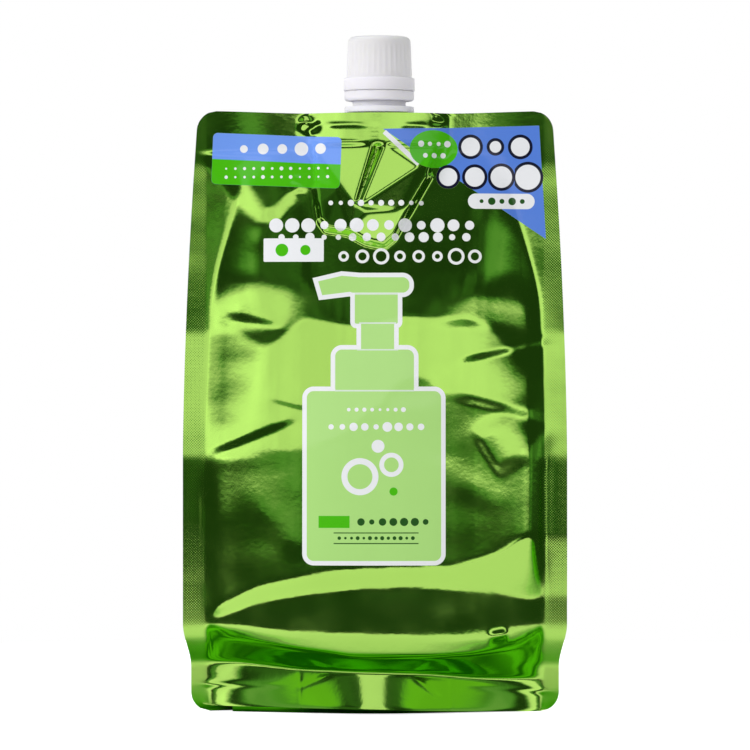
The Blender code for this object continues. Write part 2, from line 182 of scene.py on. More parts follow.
# Ridges of the front film: both ends, half width and height
RIDGES = (
    ((52, 35.5), (62.5, 37), 2.0, 0.7),
    ((-79, 116), (-77, 40), 3.0, -0.6),
    ((80, 134), (79, 56), 3.0, -0.6),
    ((-66, 110), (-30, 72), 7.0, 0.13),
    ((20, 118), (70, 92), 7.0, 0.18),
    ((-40, 240), (-58, 214), 4.0, 0.25),
    ((-25, 274.6), (-1, 274.6), 0.8, 0.25),
    ((11, 274.3), (26, 274.3), 0.8, 0.25),
    ((-26, 266.6), (-3, 266.2), 0.8, 0.30),
    ((-88, 10.8), (-38, 10.8), 1.0, 0.18),
    ((36, 12.8), (88, 8.8), 1.0, 0.18),
    ((-38, 8.5), (-18, 17.5), 0.9, 0.25),
    ((16, 17.5), (33, 3.5), 0.9, 0.25),
    ((35.6, -4), (35.6, 20), 0.8, 0.14),
    ((-35.2, -4), (-35.2, 21), 0.8, 0.14),
)
# The share of a ridge's or step's length over which each end fades, and how slowly a step goes down
FADING_SHARE = 0.3
STEP_FALL = 8.0
# Ribs of the weld base that show through the film, as heights between two places across
WELD_RIBS = ((-9.5, 4.0), (273.6, 271.6, 269.6, 267.6))
WELD_RIB_WIDTH = 0.6
WELD_RIB_HEIGHT = 0.14
# Random ripples of the front film: seed, size across, size up and height
RIPPLES = ((3, 16.0, 5.0, 0.09), (5, 8.0, 3.0, 0.03))
# Height at which the ripples start to grow, and over how much
RIPPLE_START = 105.0
RIPPLE_RISE = 30.0
# Random grain of the crinkles: seed, size across, size up and height
CRINKLE_GRAIN = (21, 1.6, 1.1, 1.0)
# Crinkled film past the tips of the weld base: middle, half width, half height and depth of the crinkles
CRINKLES = (
    ((-31.0, 274.0), 7.0, 6.0, 0.45),
    ((30.0, 277.0), 5.0, 6.0, 0.40),
    ((-36.0, 246.0), 5.0, 8.0, 0.20),
)

# Folded film under the spout: sideways, height and depth of each corner of its facets
FACET = {
    "weld left": (-29.0, 265.0, 3.0),
    "ridge left": (-1.4, 265.0, 11.1),
    "groove top": (1.4, 265.0, 7.8),
    "ridge right": (4.6, 265.4, 11.0),
    "weld right": (29.0, 265.0, 3.0),
    "tip": (20.2, 254.7, 6.3),
    "apex left": (-9.4, 237.8, 9.9),
    "groove foot": (-8.2, 238.5, 8.3),
    "apex right": (-6.8, 237.0, 9.8),
    "shoulder": (-18.0, 244.5, 8.0),
    "rim 1": (-27.2, 246.2, 5.4),
    "rim 2": (-26.3, 238.3, 8.5),
    "rim 3": (-25.1, 230.7, 10.5),
    "rim 4": (-22.0, 226.5, 11.8),
    "rim 5": (-11.7, 225.4, 13.5),
    "rim 6": (-4.2, 220.9, 13.3),
    "rim 7": (4.2, 219.0, 13.2),
    "rim 8": (8.9, 223.2, 12.7),
    "rim 9": (16.0, 236.4, 11.0),
    "rim 10": (24.9, 251.4, 6.8),
    "lobe left": (-3.3, 233.6, 12.2),
    "lobe right": (10.8, 234.7, 11.8),
}
FACETS = (
    ("weld left", "ridge left", "apex left"),
    ("weld left", "apex left", "shoulder"),
    ("weld left", "shoulder", "rim 1"),
    ("ridge left", "groove top", "groove foot"),
    ("ridge left", "groove foot", "apex left"),
    ("groove top", "ridge right", "apex right"),
    ("groove top", "apex right", "groove foot"),
    ("groove foot", "apex left", "apex right"),
    ("ridge right", "tip", "apex right"),
    ("ridge right", "weld right", "tip"),
    ("weld right", "rim 10", "tip"),
    ("apex right", "tip", "lobe right"),
    ("tip", "rim 9", "lobe right"),
    ("tip", "rim 10", "rim 9"),
    ("apex right", "lobe right", "lobe left"),
    ("apex left", "apex right", "lobe left"),
    ("apex left", "lobe left", "rim 5"),
    ("shoulder", "apex left", "rim 5"),
    ("shoulder", "rim 5", "rim 4"),
    ("shoulder", "rim 4", "rim 3"),
    ("shoulder", "rim 3", "rim 2"),
    ("shoulder", "rim 2", "rim 1"),
    ("lobe left", "lobe right", "rim 7"),
    ("lobe right", "rim 8", "rim 7"),
    ("lobe right", "rim 9", "rim 8"),
    ("lobe left", "rim 7", "rim 6"),
    ("lobe left", "rim 6", "rim 5"),
)
FACET_CENTRE = (0.0, 252.0)
RIM_FALL = 2.6

# The lattice on which both films' depths are worked out
STEP = 0.5
ACROSS = np.arange(-93.0, 93.0 + STEP, STEP)
UPWARD = np.arange(0.0, 283.0 + STEP, STEP)

# Faces of each film's grid, across and up
FRONT_GRID = (250, 372)
BACK_GRID = (130, 200)
BASE_GRID = (120, 96)

# Edges between faces that meet at more than this angle, in degrees, look sharp
SHARP_ANGLE = 42.0


def eased(value):
    """A smooth step from 0 to 1."""
    value = np.clip(value, 0.0, 1.0)
    return value * value * (3.0 - 2.0 * value)


def blurred(field, spread, axis):
    """The field smoothed along one axis, by a spread in millimetres."""
    reach = int(math.ceil(3.0 * spread / STEP))
    weights = np.exp(-0.5 * (np.arange(-reach, reach + 1) * STEP / spread) ** 2)
    weights /= weights.sum()
    padding = [(0, 0), (0, 0)]
    padding[axis] = (reach, reach)
    padded = np.pad(field, padding, mode="edge")
    return np.apply_along_axis(lambda line: np.convolve(line, weights, mode="valid"), axis, padded)


def fold_line(places, softness):
    """The height of a fold at each place across the film."""
    xs, zs = zip(*places)
    raw = np.interp(ACROSS, xs, zs)
    return blurred(raw[:, None], softness, 0)[:, 0]


def edge_half_width(height):
    """Half the film's width at a height, without the rounded corners."""
    foot = eased((height - FOOT_LOW) / (FOOT_HIGH - FOOT_LOW))
    half = 0.5 * (BASE_WIDTH + (BODY_WIDTH - BASE_WIDTH) * foot)
    taper = np.maximum(height - TAPER_START, 0.0) / (FILM_HEIGHT - TAPER_START)
    return half - 0.5 * (BODY_WIDTH - TOP_WIDTH) * taper**TAPER_POWER


def corner_cut(distance, radius):
    """How far a rounded corner draws the side in, at a distance from the end of the film."""
    distance = np.clip(distance, 0.0, radius)
    return radius - np.sqrt(radius**2 - (radius - distance) ** 2)


def half_width(height):
    """Half the film's width at a height."""
    cut = corner_cut(FILM_HEIGHT - height, TOP_CORNER) + corner_cut(height, BASE_CORNER)
    return edge_half_width(height) - cut


def canoe(x, half_length, half_depth):
    """Half depth of a canoe shape whose two sides are arcs that meet at its tips."""
    x = np.minimum(np.abs(x), half_length)
    radius = (half_length**2 + half_depth**2) / (2.0 * half_depth)
    return np.sqrt(radius**2 - x**2) - (radius - half_depth)


def middle_field(folds):
    """Half depth of the bag above its foot, by walking up the film from fold to fold."""
    slope = np.zeros((len(ACROSS), len(UPWARD)))
    z = UPWARD[None, :]
    for low, high, lean in zip(folds, folds[1:], LEANS):
        between = (z >= low[:, None]) & (z < high[:, None])
        slope[between] = -math.tan(math.radians(lean))
    held_out = np.maximum(lens_field(), LENS_FLOOR)
    slope = np.where(z < folds[-2][:, None], slope / held_out, slope)
    depth = FOOT_DEPTH + np.cumsum(slope, axis=1) * STEP
    top = folds[-1]
    at_top = np.array([[np.interp(height, UPWARD, line)] for height, line in zip(top, depth)])
    share = (z - top[:, None]) / (SEAL_BOTTOM - top[:, None])
    closing = at_top * np.clip(1.0 - share, 0.0, 1.0) ** CLOSING_POWER
    return np.where(z >= top[:, None], closing, depth)


def hem_outline():
    """The hem's outline seen from above: 1 at its rounded nose, then nearly straight to 0 at its ends."""
    tip = math.hypot(HEM_REACH, HEM_NOSE) - HEM_NOSE
    return np.maximum(1.0 - (np.hypot(ACROSS, HEM_NOSE) - HEM_NOSE) / tip, 0.0)[:, None]


def with_foot(body, crease, foot):
    """The bag with its hem, the crease above it and the foot that swells out to the body."""
    z = UPWARD[None, :]
    crease, foot = crease[:, None], foot[:, None]
    outline = hem_outline()
    in_crease = CREASE_DEPTH * outline**CREASE_PINCH
    at_foot = np.array([[np.interp(height[0], UPWARD, line)] for height, line in zip(foot, body)])
    share = (z - crease) / (foot - crease)
    swell = in_crease + (at_foot - in_crease) * share
    body = np.where(z < foot, swell, body)
    return np.where(z < crease, hem_flare(crease, z, in_crease, BASE_DEPTH * outline), body)


def hem_flare(crease, z, in_crease, at_base):
    """Half depth of the hem, which flares in two stages towards its lower edge."""
    xs, heights = zip(*HEM_KNEE)
    knee = np.minimum(np.interp(ACROSS, xs, heights)[:, None], crease - 0.01)
    at_knee = in_crease + (at_base - in_crease) * KNEE_SHARE * (crease - knee) / crease
    high = in_crease + (at_knee - in_crease) * (crease - z) / (crease - knee)
    low = at_knee + (at_base - at_knee) * (knee - z) / knee
    return np.where(z > knee, high, low)


def lens_field():
    """The crowned section between the side seals."""
    z = UPWARD[None, :]
    taper = SHOULDER_TAPER * eased((z - SHOULDER) / (SEAL_BOTTOM - SHOULDER))
    filled_half = (edge_half_width(z) - SIDE_SEAL) * (1.0 - taper)
    reach = np.minimum(np.abs(ACROSS[:, None]) / filled_half, 1.0)
    return 1.0 - reach ** (LENS_POWER + SHOULDER_POWER * eased((z - SHOULDER) / SHOULDER_RISE))


def facet_field(bag):
    """Depth of the folded film under the spout, and where it is."""
    corners = dict(FACET)
    centre = Vector(FACET_CENTRE)
    rims = [name for name in FACET if name.startswith("rim")]
    outer = []
    for name in rims:
        place = Vector(FACET[name][:2])
        away = place + (place - centre).normalized() * RIM_FALL
        i = int(round((away.x - ACROSS[0]) / STEP))
        j = int(round(away.y / STEP))
        corners["foot of " + name] = (away.x, away.y, bag[i, j])
        outer.append("foot of " + name)
    panels = list(FACETS)
    for k in range(len(rims) - 1):
        panels.append((rims[k], rims[k + 1], outer[k + 1]))
        panels.append((rims[k], outer[k + 1], outer[k]))
    x, z = np.meshgrid(ACROSS, UPWARD, indexing="ij")
    depth = np.full(x.shape, -1.0)
    for names in panels:
        (ax, az, ad), (bx, bz, bd), (cx, cz, cd) = (corners[name] for name in names)
        area = (bx - ax) * (cz - az) - (cx - ax) * (bz - az)
        v = ((x - ax) * (cz - az) - (cx - ax) * (z - az)) / area
        w = ((bx - ax) * (z - az) - (x - ax) * (bz - az)) / area
        inside = (v >= -1e-6) & (w >= -1e-6) & (v + w <= 1.0 + 1e-6)
        depth = np.where(inside, ad + v * (bd - ad) + w * (cd - ad), depth)
    return depth


def ripple(seed, along, up, height):
    """Uneven swells of the film: their size across and up, and their height."""
    grains = np.random.default_rng(seed).standard_normal((len(ACROSS), len(UPWARD)))
    swell = blurred(blurred(grains, along, 0), up, 1)
    return height * swell / swell.std()


def beside(start, end):
    """How far each place lies beside a line over the film, and how the line fades at its ends."""
    x, z = ACROSS[:, None], UPWARD[None, :]
    (ax, az), (bx, bz) = start, end
    length = math.hypot(bx - ax, bz - az)
    along = ((x - ax) * (bx - ax) + (z - az) * (bz - az)) / length
    aside = ((z - az) * (bx - ax) - (x - ax) * (bz - az)) / length
    fading = FADING_SHARE * length
    return aside, eased(along / fading) * eased((length - along) / fading)


def ridge(start, end, width, height):
    """A ridge between two places on the film that fades out at its ends."""
    aside, fade = beside(start, end)
    return height * fade * np.exp(-((aside / width) ** 2))


def step_up(start, end, width, height):
    """A soft step between two places on the film: the film above it stands further out."""
    aside, fade = beside(*sorted((start, end)))
    back_down = 1.0 - eased((aside - width) / (STEP_FALL * width))
    return height * fade * eased(aside / width + 0.5) * back_down


def crinkled():
    """Small sharp crinkles where the film is gathered."""
    x, z = ACROSS[:, None], UPWARD[None, :]
    grains = ripple(*CRINKLE_GRAIN)
    total = np.zeros(grains.shape)
    for (across, up), reach_x, reach_z, height in CRINKLES:
        out = np.hypot((x - across) / reach_x, (z - up) / reach_z)
        total = total + height * grains * eased(2.0 * (1.0 - out))
    return total


def slack(z):
    """How strongly the film ripples: more above the waist, and hardly at all on the seals."""
    above_waist = eased((z - RIPPLE_START) / RIPPLE_RISE)
    return (0.35 + 0.65 * above_waist) * (0.2 + 0.8 * eased(3.0 * lens_field()))


def weld_form(x, z):
    """The film stretched over the canoe-shaped weld base, and -1 below it."""
    lean_in = np.maximum(z - BOAT_BOTTOM, 0.0) * math.tan(math.radians(WELD_LEAN))
    canoe_depth = canoe(x - SPOUT_OFFSET, TENT_HALF_LENGTH, TENT_HALF_DEPTH)
    return np.where(z >= BOAT_BOTTOM, canoe_depth - lean_in, -1.0)


def weld_drape(x, z):
    """Film that eases down from the weld base's tips into the bag."""
    canoe_depth = canoe(x - SPOUT_OFFSET, TENT_HALF_LENGTH, TENT_HALF_DEPTH)
    fall = np.clip((BOAT_BOTTOM + 0.3 - z) / DRAPE_FALL, 0.0, 1.0)
    drape = np.where(z < BOAT_BOTTOM + 0.4, canoe_depth * (1.0 - fall), 0.0)
    return drape * np.clip((np.abs(x - SPOUT_OFFSET) - DRAPE_START) / DRAPE_WIDTH, 0.0, 1.0)


def front_field():
    """Depth of the front film over the whole lattice, with every fold."""
    folds = [fold_line(*fold) for fold in FRONT_FOLDS]
    for k in range(1, len(folds)):
        folds[k] = np.maximum(folds[k], folds[k - 1])
    bag = middle_field(folds[1:])
    bag = with_foot(blurred(bag, 1.0, 1) * lens_field(), folds[0], folds[1])
    bag = blurred(blurred(bag, 0.7, 1), 1.0, 0)
    z = UPWARD[None, :]
    x = ACROSS[:, None]
    bag = bag + slack(z) * sum(ripple(*swell) for swell in RIPPLES)
    for crease in STEPS:
        bag = bag + step_up(*crease)
    bag = np.where(z > SEAL_BOTTOM, 0.0, bag)
    depth = np.maximum(np.maximum(bag, weld_form(x, z)), 0.0)
    folded = facet_field(bag)
    depth = np.where((folded >= 0.0) & (z < BOAT_BOTTOM + 0.2), folded, depth)
    depth = np.maximum(depth, weld_drape(x, z))
    for crease in RIDGES:
        depth = depth + ridge(*crease)
    (left, right), heights = WELD_RIBS
    for height in heights:
        depth = depth + ridge((left, height), (right, height), WELD_RIB_WIDTH, WELD_RIB_HEIGHT)
    depth = depth + crinkled()
    depth = blurred(blurred(depth, 0.55, 1), 0.55, 0)
    return depth + FIN


def back_field():
    """Depth of the back film: the same bulge with fewer folds and a plain drape under the spout."""
    folds = [fold_line(*fold) for fold in BACK_FOLDS]
    bag = middle_field(folds[1:])
    bag = with_foot(blurred(bag, 1.4, 1) * lens_field(), folds[0], folds[1])
    bag = blurred(blurred(bag, 1.0, 1), 1.4, 0)
    z = UPWARD[None, :]
    x = ACROSS[:, None]
    bag = np.where(z > SEAL_BOTTOM, 0.0, bag)
    fall = np.clip((BOAT_BOTTOM - z) / BACK_TENT_FALL, 0.0, 1.0)
    reach = TENT_HALF_LENGTH * (1.0 - 0.9 * fall)
    out = np.minimum(np.abs(x - SPOUT_OFFSET) / reach, 1.0)
    round_top = canoe(out * TENT_HALF_LENGTH, TENT_HALF_LENGTH, TENT_HALF_DEPTH)
    pointed = TENT_HALF_DEPTH * (1.0 - out)
    tent = (round_top + (pointed - round_top) * eased(2.0 * fall)) * (1.0 + 0.12 * fall)
    tent = np.where(fall >= 1.0, 0.0, tent)
    depth = np.maximum(bag, tent)
    depth = blurred(blurred(depth, 0.8, 1), 0.8, 0)
    return depth + FIN


def read_field(field, x, z):
    """The field's value at each place, between its lattice points."""
    i = np.clip((x - ACROSS[0]) / STEP, 0, len(ACROSS) - 1.001)
    j = np.clip(z / STEP, 0, len(UPWARD) - 1.001)
    i0, j0 = i.astype(int), j.astype(int)
    u, v = i - i0, j - j0
    low = field[i0, j0] * (1 - u) + field[i0 + 1, j0] * u
    high = field[i0, j0 + 1] * (1 - u) + field[i0 + 1, j0 + 1] * u
    return low * (1 - v) + high * v


def seal_sway(x, z):
    """How far the whole pack bends back near its side seals."""
    reach = np.minimum(np.abs(x) / (edge_half_width(z) - SIDE_SEAL), 1.0)
    sides = []
    for places in (LEFT_SEAL, RIGHT_SEAL):
        heights, offsets = zip(*places)
        line = blurred(np.interp(UPWARD, heights, offsets)[None, :], 1.5, 1)[0]
        sides.append(np.interp(z, UPWARD, line))
    return eased((reach - SWAY_START) / (1.0 - SWAY_START)) * np.where(x < 0.0, *sides)


def film(name, field, sign, grid, material):
    """One film of the pouch: a fine grid laid over the depths, with a thin turned-in rim."""
    bm = bmesh.new()
    inner = bm.verts.layers.int.new("inner")
    bmesh.ops.create_grid(bm, x_segments=grid[0], y_segments=grid[1], size=1.0)
    rim = [edge for edge in bm.edges if edge.is_boundary]
    grown = bmesh.ops.extrude_edge_only(bm, edges=rim)["geom"]
    for item in grown:
        if isinstance(item, bmesh.types.BMVert):
            item[inner] = 1
    mesh = bpy.data.meshes.new(name)
    bm.to_mesh(mesh)
    flat = np.array([(v.co.x, v.co.y, v[inner]) for v in bm.verts])
    bm.free()
    z = 0.5 * (flat[:, 1] + 1.0) * FILM_HEIGHT
    x = flat[:, 0] * half_width(z)
    depth = read_field(field, x, z)
    y = sign * (depth - FIN * flat[:, 2]) + seal_sway(x, z)
    rise = top_rise(x, z)
    if sign < 0:
        rise = rise + hem_rise(x, z)
    places = np.stack([x, y, z + rise], axis=1) * MM
    mesh.vertices.foreach_set("co", places.astype(np.float32).ravel())
    mesh.update()
    return finished(name, mesh, material, outward=(0.0, sign, 0.0))


def hem_rise(x, z):
    """How far the front hem's left part lifts off the table."""
    side = 0.5 * (1.0 - x / (0.5 * BASE_WIDTH))
    return HEM_LIFT * eased(1.6 * side) * np.maximum(1.0 - z / FOOT_HIGH, 0.0)


def top_rise(x, z):
    """How far the film's top corners stand above its middle."""
    side = eased((np.abs(x - SPOUT_OFFSET) - BOAT_HALF_LENGTH) / (0.5 * TOP_WIDTH - BOAT_HALF_LENGTH))
    return TOP_EDGE_RISE * side * np.maximum(z - SEAL_BOTTOM, 0.0) / TOP_SEAL


def finished(name, mesh, material, outward=None):
    """A smooth-shaded object of this mesh, with its faces turned outward."""
    bm = bmesh.new()
    bm.from_mesh(mesh)
    bmesh.ops.recalc_face_normals(bm, faces=bm.faces)
    if outward:
        total = sum((face.normal * face.calc_area() for face in bm.faces), Vector())
        if total.dot(Vector(outward)) < 0.0:
            bmesh.ops.reverse_faces(bm, faces=bm.faces)
    elif bm.calc_volume(signed=True) < 0.0:
        bmesh.ops.reverse_faces(bm, faces=bm.faces)
    bm.to_mesh(mesh)
    bm.free()
    mesh.shade_smooth()
    mesh.set_sharp_from_angle(angle=math.radians(SHARP_ANGLE))
    mesh.materials.append(material)
    made = bpy.data.objects.new(name, mesh)
    bpy.context.scene.collection.objects.link(made)
    return made


def base_film(material, front, back):
    """The bottom film: up inside the hems, over the groove and down to where the pack rests."""
    bm = bmesh.new()
    bmesh.ops.create_grid(bm, x_segments=BASE_GRID[0], y_segments=BASE_GRID[1], size=1.0)
    mesh = bpy.data.meshes.new("film_base")
    bm.to_mesh(mesh)
    flat = np.array([(vert.co.x, vert.co.y) for vert in bm.verts])
    bm.free()
    x = flat[:, 0] * (half_width(np.array([0.0]))[0] - SIDE_SEAL)
    share = np.abs(flat[:, 1])
    on_hem = share > GROOVE_SHARE
    climb = np.clip((1.0 - share) / (1.0 - GROOVE_SHARE), 0.0, 1.0)
    sink = eased((GROOVE_SHARE - share) / GROOVE_WALL)
    height = GROOVE_DEPTH * np.where(on_hem, climb, 1.0 - sink)
    reading = np.where(on_hem, height, GROOVE_DEPTH)
    side = np.sign(flat[:, 1])
    depth = np.where(side < 0, read_field(front, x, reading), read_field(back, x, reading))
    inner = np.maximum(depth - 2.0 * FIN, 0.0)
    y = side * inner * np.where(on_hem, 1.0, share / GROOVE_SHARE)
    lift = np.where((side < 0) & on_hem, hem_rise(x, height), 0.0)
    places = np.stack([x, y, height + lift], axis=1) * MM
    mesh.vertices.foreach_set("co", places.astype(np.float32).ravel())
    mesh.update()
    return finished("film_base", mesh, material, outward=(0.0, 0.0, -1.0))


# Spout and cap, in millimetres, with the gap between pieces that touch on the real pack
GAP = 0.3
FLANGE_BOTTOM = FILM_HEIGHT + 0.4
FLANGE_TOP = FLANGE_BOTTOM + 2.6
FLANGE_RADIUS = 16.3
STEM_RADIUS = 9.4
NECK_RADIUS = 12.5
NECK_BORE = 11.2
NECK_HEIGHT = 29.7
BEAD_REACH = 0.8
BEAD_HEIGHT = 1.2
BOAT_BORE = 8.0
BOAT_BANDS = 7
BOAT_GROOVE = 0.6
NECK_TOP = FLANGE_TOP + NECK_HEIGHT
LINER_THICKNESS = 0.8
CROWN = 1.8
CAP_TOP = NECK_TOP + GAP + LINER_THICKNESS + GAP + CROWN
CAP_HEIGHT = 25.4
CAP_BOTTOM = CAP_TOP - CAP_HEIGHT
CAP_STEP = CAP_BOTTOM + 6.0
CAP_BORE = 13.7
SKIRT_RADIUS = 16.6
GRIP_RADIUS = 15.3
GRIP_TAPER = 0.7
FLUTE_DEPTH = 0.19
RIB_COUNT = 36
RING_TOP = CAP_BOTTOM - GAP
RING_BOTTOM = RING_TOP - 4.4
RING_RADIUS = 16.3
RING_LIP_RADIUS = 15.8
BRIDGES = 12
THREAD_PITCH = 3.5
THREAD_TURNS = 1.75
THREAD_STEPS = 64


def turned(profile, steps):
    """A closed profile of radius and height, spun once round the spout's axis."""
    bm = bmesh.new()
    ring = [bm.verts.new((radius, 0.0, height)) for radius, height in profile]
    for first, second in zip(ring, ring[1:] + ring[:1]):
        bm.edges.new((first, second))
    bmesh.ops.spin(
        bm,
        geom=ring + bm.edges[:],
        axis=(0.0, 0.0, 1.0),
        cent=(0.0, 0.0, 0.0),
        angle=2.0 * math.pi,
        steps=steps,
        use_merge=True,
    )
    bmesh.ops.remove_doubles(bm, verts=bm.verts[:], dist=1e-4)
    bmesh.ops.dissolve_degenerate(bm, dist=1e-5, edges=bm.edges[:])
    return bm


def rounded(corner, before, after, radius, steps=4):
    """Points of an arc that rounds a corner of a profile."""
    corner, before, after = Vector(corner), Vector(before), Vector(after)
    first = (before - corner).normalized()
    second = (after - corner).normalized()
    angle = first.angle(second)
    reach = radius / math.tan(0.5 * angle)
    start = corner + first * reach
    end = corner + second * reach
    centre = corner + (first + second).normalized() * (radius / math.sin(0.5 * angle))
    points = []
    for k in range(steps + 1):
        way = (start - centre).slerp(end - centre, k / steps)
        points.append(tuple(centre + way.normalized() * radius))
    return points


def softened(profile, radii):
    """The profile with the corners that have a radius rounded off."""
    points = []
    count = len(profile)
    for k, corner in enumerate(profile):
        radius = radii.get(k, 0.0)
        if radius:
            points += rounded(corner, profile[k - 1], profile[(k + 1) % count], radius)
        else:
            points.append(corner)
    return points


def on_spout_axis(bm):
    """Moves a bmesh to the spout's axis and turns its millimetres into metres."""
    bmesh.ops.translate(bm, vec=(SPOUT_OFFSET, 0.0, 0.0), verts=bm.verts[:])
    bmesh.ops.scale(bm, vec=(MM, MM, MM), verts=bm.verts[:])
    return bm


def from_bmesh(name, bm, material):
    """A finished piece of this bmesh."""
    mesh = bpy.data.meshes.new(name)
    on_spout_axis(bm).to_mesh(mesh)
    bm.free()
    return finished(name, mesh, material)


def grip_radius(height):
    """The cap's radius along its grip, which narrows towards the top."""
    return GRIP_RADIUS - GRIP_TAPER * (height - CAP_STEP) / (CAP_TOP - CAP_STEP)


def fluted(bm):
    """Moves the cap's outside in and out, so that its grip has upright ribs."""
    rib_low, rib_high = CAP_STEP + 0.9, CAP_TOP - 3.4
    for vert in bm.verts:
        radius = math.hypot(vert.co.x, vert.co.y)
        if radius < CAP_BORE + GAP:
            continue
        along = eased((vert.co.z - rib_low) / 0.8) * eased((rib_high - vert.co.z) / 1.2)
        angle = math.atan2(vert.co.y, vert.co.x)
        wave = 0.5 + 0.5 * math.cos(RIB_COUNT * angle)
        shift = FLUTE_DEPTH * float(along) * (wave**2 - 0.55)
        vert.co.x *= 1.0 + shift / radius
        vert.co.y *= 1.0 + shift / radius


def make_cap(material):
    """The screw cap with its fluted grip, skirt, threaded bore and rounded crown."""
    profile = [
        (CAP_BORE, CAP_BOTTOM),
        (SKIRT_RADIUS, CAP_BOTTOM),
        (SKIRT_RADIUS, CAP_STEP),
        (grip_radius(CAP_STEP), CAP_STEP),
    ]
    heights = np.linspace(CAP_STEP + 0.3, CAP_TOP - 2.8, 22)
    profile += [(grip_radius(height), height) for height in heights]
    profile += [(grip_radius(CAP_TOP), CAP_TOP), (8.0, CAP_TOP - 0.05), (0.0, CAP_TOP - 0.1)]
    ceiling = CAP_TOP - CROWN
    profile += [(0.0, ceiling), (CAP_BORE, ceiling)]
    crown = 4 + len(heights)
    bm = turned(softened(profile, {1: 0.35, 2: 0.5, 3: 0.25, crown: 2.5}), RIB_COUNT * 8)
    fluted(bm)
    add_thread(bm, CAP_BORE, -1.0, CAP_BOTTOM + 5.0)
    return from_bmesh("cap_shell", bm, material)


def add_thread(bm, radius, side, start):
    """A helical ridge on the neck, or inside the cap's bore."""
    root = radius - 0.15 * side
    crest = radius + 0.75 * side
    section = [(root, -0.85), (crest, -0.25), (crest, 0.25), (root, 0.85)]
    verts = [bm.verts.new((r, 0.0, start + h)) for r, h in section]
    face = bm.faces.new(verts)
    count = int(THREAD_STEPS * THREAD_TURNS)
    bmesh.ops.spin(
        bm,
        geom=[face],
        axis=(0.0, 0.0, 1.0),
        cent=(0.0, 0.0, 0.0),
        dvec=(0.0, 0.0, THREAD_PITCH / THREAD_STEPS),
        angle=2.0 * math.pi * count / THREAD_STEPS,
        steps=count,
        use_merge=False,
    )


def make_neck(material):
    """The spout above the film: flange, neck with its thread and bead, and the stem below them."""
    bead = RING_TOP + GAP
    profile = [
        (BOAT_BORE, BOAT_BOTTOM + 1.0),
        (STEM_RADIUS, BOAT_BOTTOM + 1.0),
        (STEM_RADIUS, FLANGE_BOTTOM),
        (FLANGE_RADIUS, FLANGE_BOTTOM),
        (FLANGE_RADIUS, FLANGE_TOP),
        (NECK_RADIUS + 0.25, FLANGE_TOP),
        (NECK_RADIUS, FLANGE_TOP + 0.4),
        (NECK_RADIUS, bead),
        (NECK_RADIUS + BEAD_REACH, bead),
        (NECK_RADIUS, bead + BEAD_HEIGHT),
        (NECK_RADIUS, NECK_TOP),
        (NECK_BORE, NECK_TOP),
        (NECK_BORE, FLANGE_TOP + 1.2),
        (BOAT_BORE, FLANGE_TOP - 1.2),
    ]
    bm = turned(softened(profile, {3: 0.3, 4: 0.35, 10: 0.5, 11: 0.3}), 128)
    add_thread(bm, NECK_RADIUS, 1.0, CAP_BOTTOM + 7.0)
    return from_bmesh("spout_neck", bm, material)


def make_boat(material):
    """The canoe-shaped weld base with its ribs."""
    bm = bmesh.new()
    steps = 96
    turn = bm.verts.layers.float.new("turn")
    verts = bmesh.ops.create_circle(bm, segments=steps, radius=1.0)["verts"]
    edges = bm.edges[:]
    for vert in verts:
        vert[turn] = math.atan2(vert.co.y, vert.co.x)
    levels = [("bore", BOAT_BOTTOM)]
    for band in range(BOAT_BANDS):
        for end in (0, 1):
            levels.append((band % 2, BOAT_BOTTOM + BOAT_HEIGHT * (band + end) / BOAT_BANDS))
    levels += [("bore", BOAT_TOP), ("bore", BOAT_BOTTOM)]
    for count, (kind, height) in enumerate(levels):
        if count:
            grown = bmesh.ops.extrude_edge_only(bm, edges=edges)["geom"]
            verts = [item for item in grown if isinstance(item, bmesh.types.BMVert)]
            edges = [item for item in grown if isinstance(item, bmesh.types.BMEdge)]
        for vert in verts:
            angle = vert[turn]
            if kind == "bore":
                vert.co = Vector((BOAT_BORE * math.cos(angle), BOAT_BORE * math.sin(angle), height))
            else:
                half_length = BOAT_HALF_LENGTH - BOAT_GROOVE * kind
                x = half_length * math.cos(angle)
                y = float(canoe(x, half_length, BOAT_HALF_DEPTH - BOAT_GROOVE * kind))
                vert.co = Vector((x, math.copysign(y, math.sin(angle)), height))
    bmesh.ops.remove_doubles(bm, verts=bm.verts[:], dist=1e-4)
    return from_bmesh("spout_weld_base", bm, material)


def make_ring(material):
    """The tamper ring with the stubs of its bridges to the cap."""
    inner = NECK_RADIUS + GAP
    lip = RING_TOP + 0.22
    profile = [
        (inner, RING_BOTTOM),
        (RING_RADIUS, RING_BOTTOM),
        (RING_RADIUS, RING_TOP),
        (RING_LIP_RADIUS, RING_TOP),
        (RING_LIP_RADIUS, lip),
        (inner, lip),
    ]
    bm = turned(softened(profile, {1: 1.3, 2: 0.25}), 128)
    for k in range(BRIDGES):
        angle = 2.0 * math.pi * (k + 0.5) / BRIDGES
        stub = bmesh.ops.create_cube(bm, size=1.0)["verts"]
        bmesh.ops.scale(bm, vec=(0.7, 0.9, 0.4), verts=stub)
        bmesh.ops.translate(bm, vec=(RING_LIP_RADIUS + 0.05, 0.0, RING_TOP + 0.05), verts=stub)
        bmesh.ops.rotate(bm, cent=(0, 0, 0), matrix=Matrix.Rotation(angle, 3, "Z"), verts=stub)
    return from_bmesh("tamper_band", bm, material)


# Film, inks and plastics


def math_node(tree, operation, first, second=None, third=None, clamp=False):
    """One sum in the node tree, of numbers or of other nodes' outputs."""
    node = tree.nodes.new("ShaderNodeMath")
    node.operation = operation
    node.use_clamp = clamp
    for socket, value in zip(node.inputs, (first, second, third)):
        if value is None:
            continue
        if isinstance(value, (int, float)):
            socket.default_value = value
        else:
            tree.links.new(value, socket)
    return node.outputs[0]


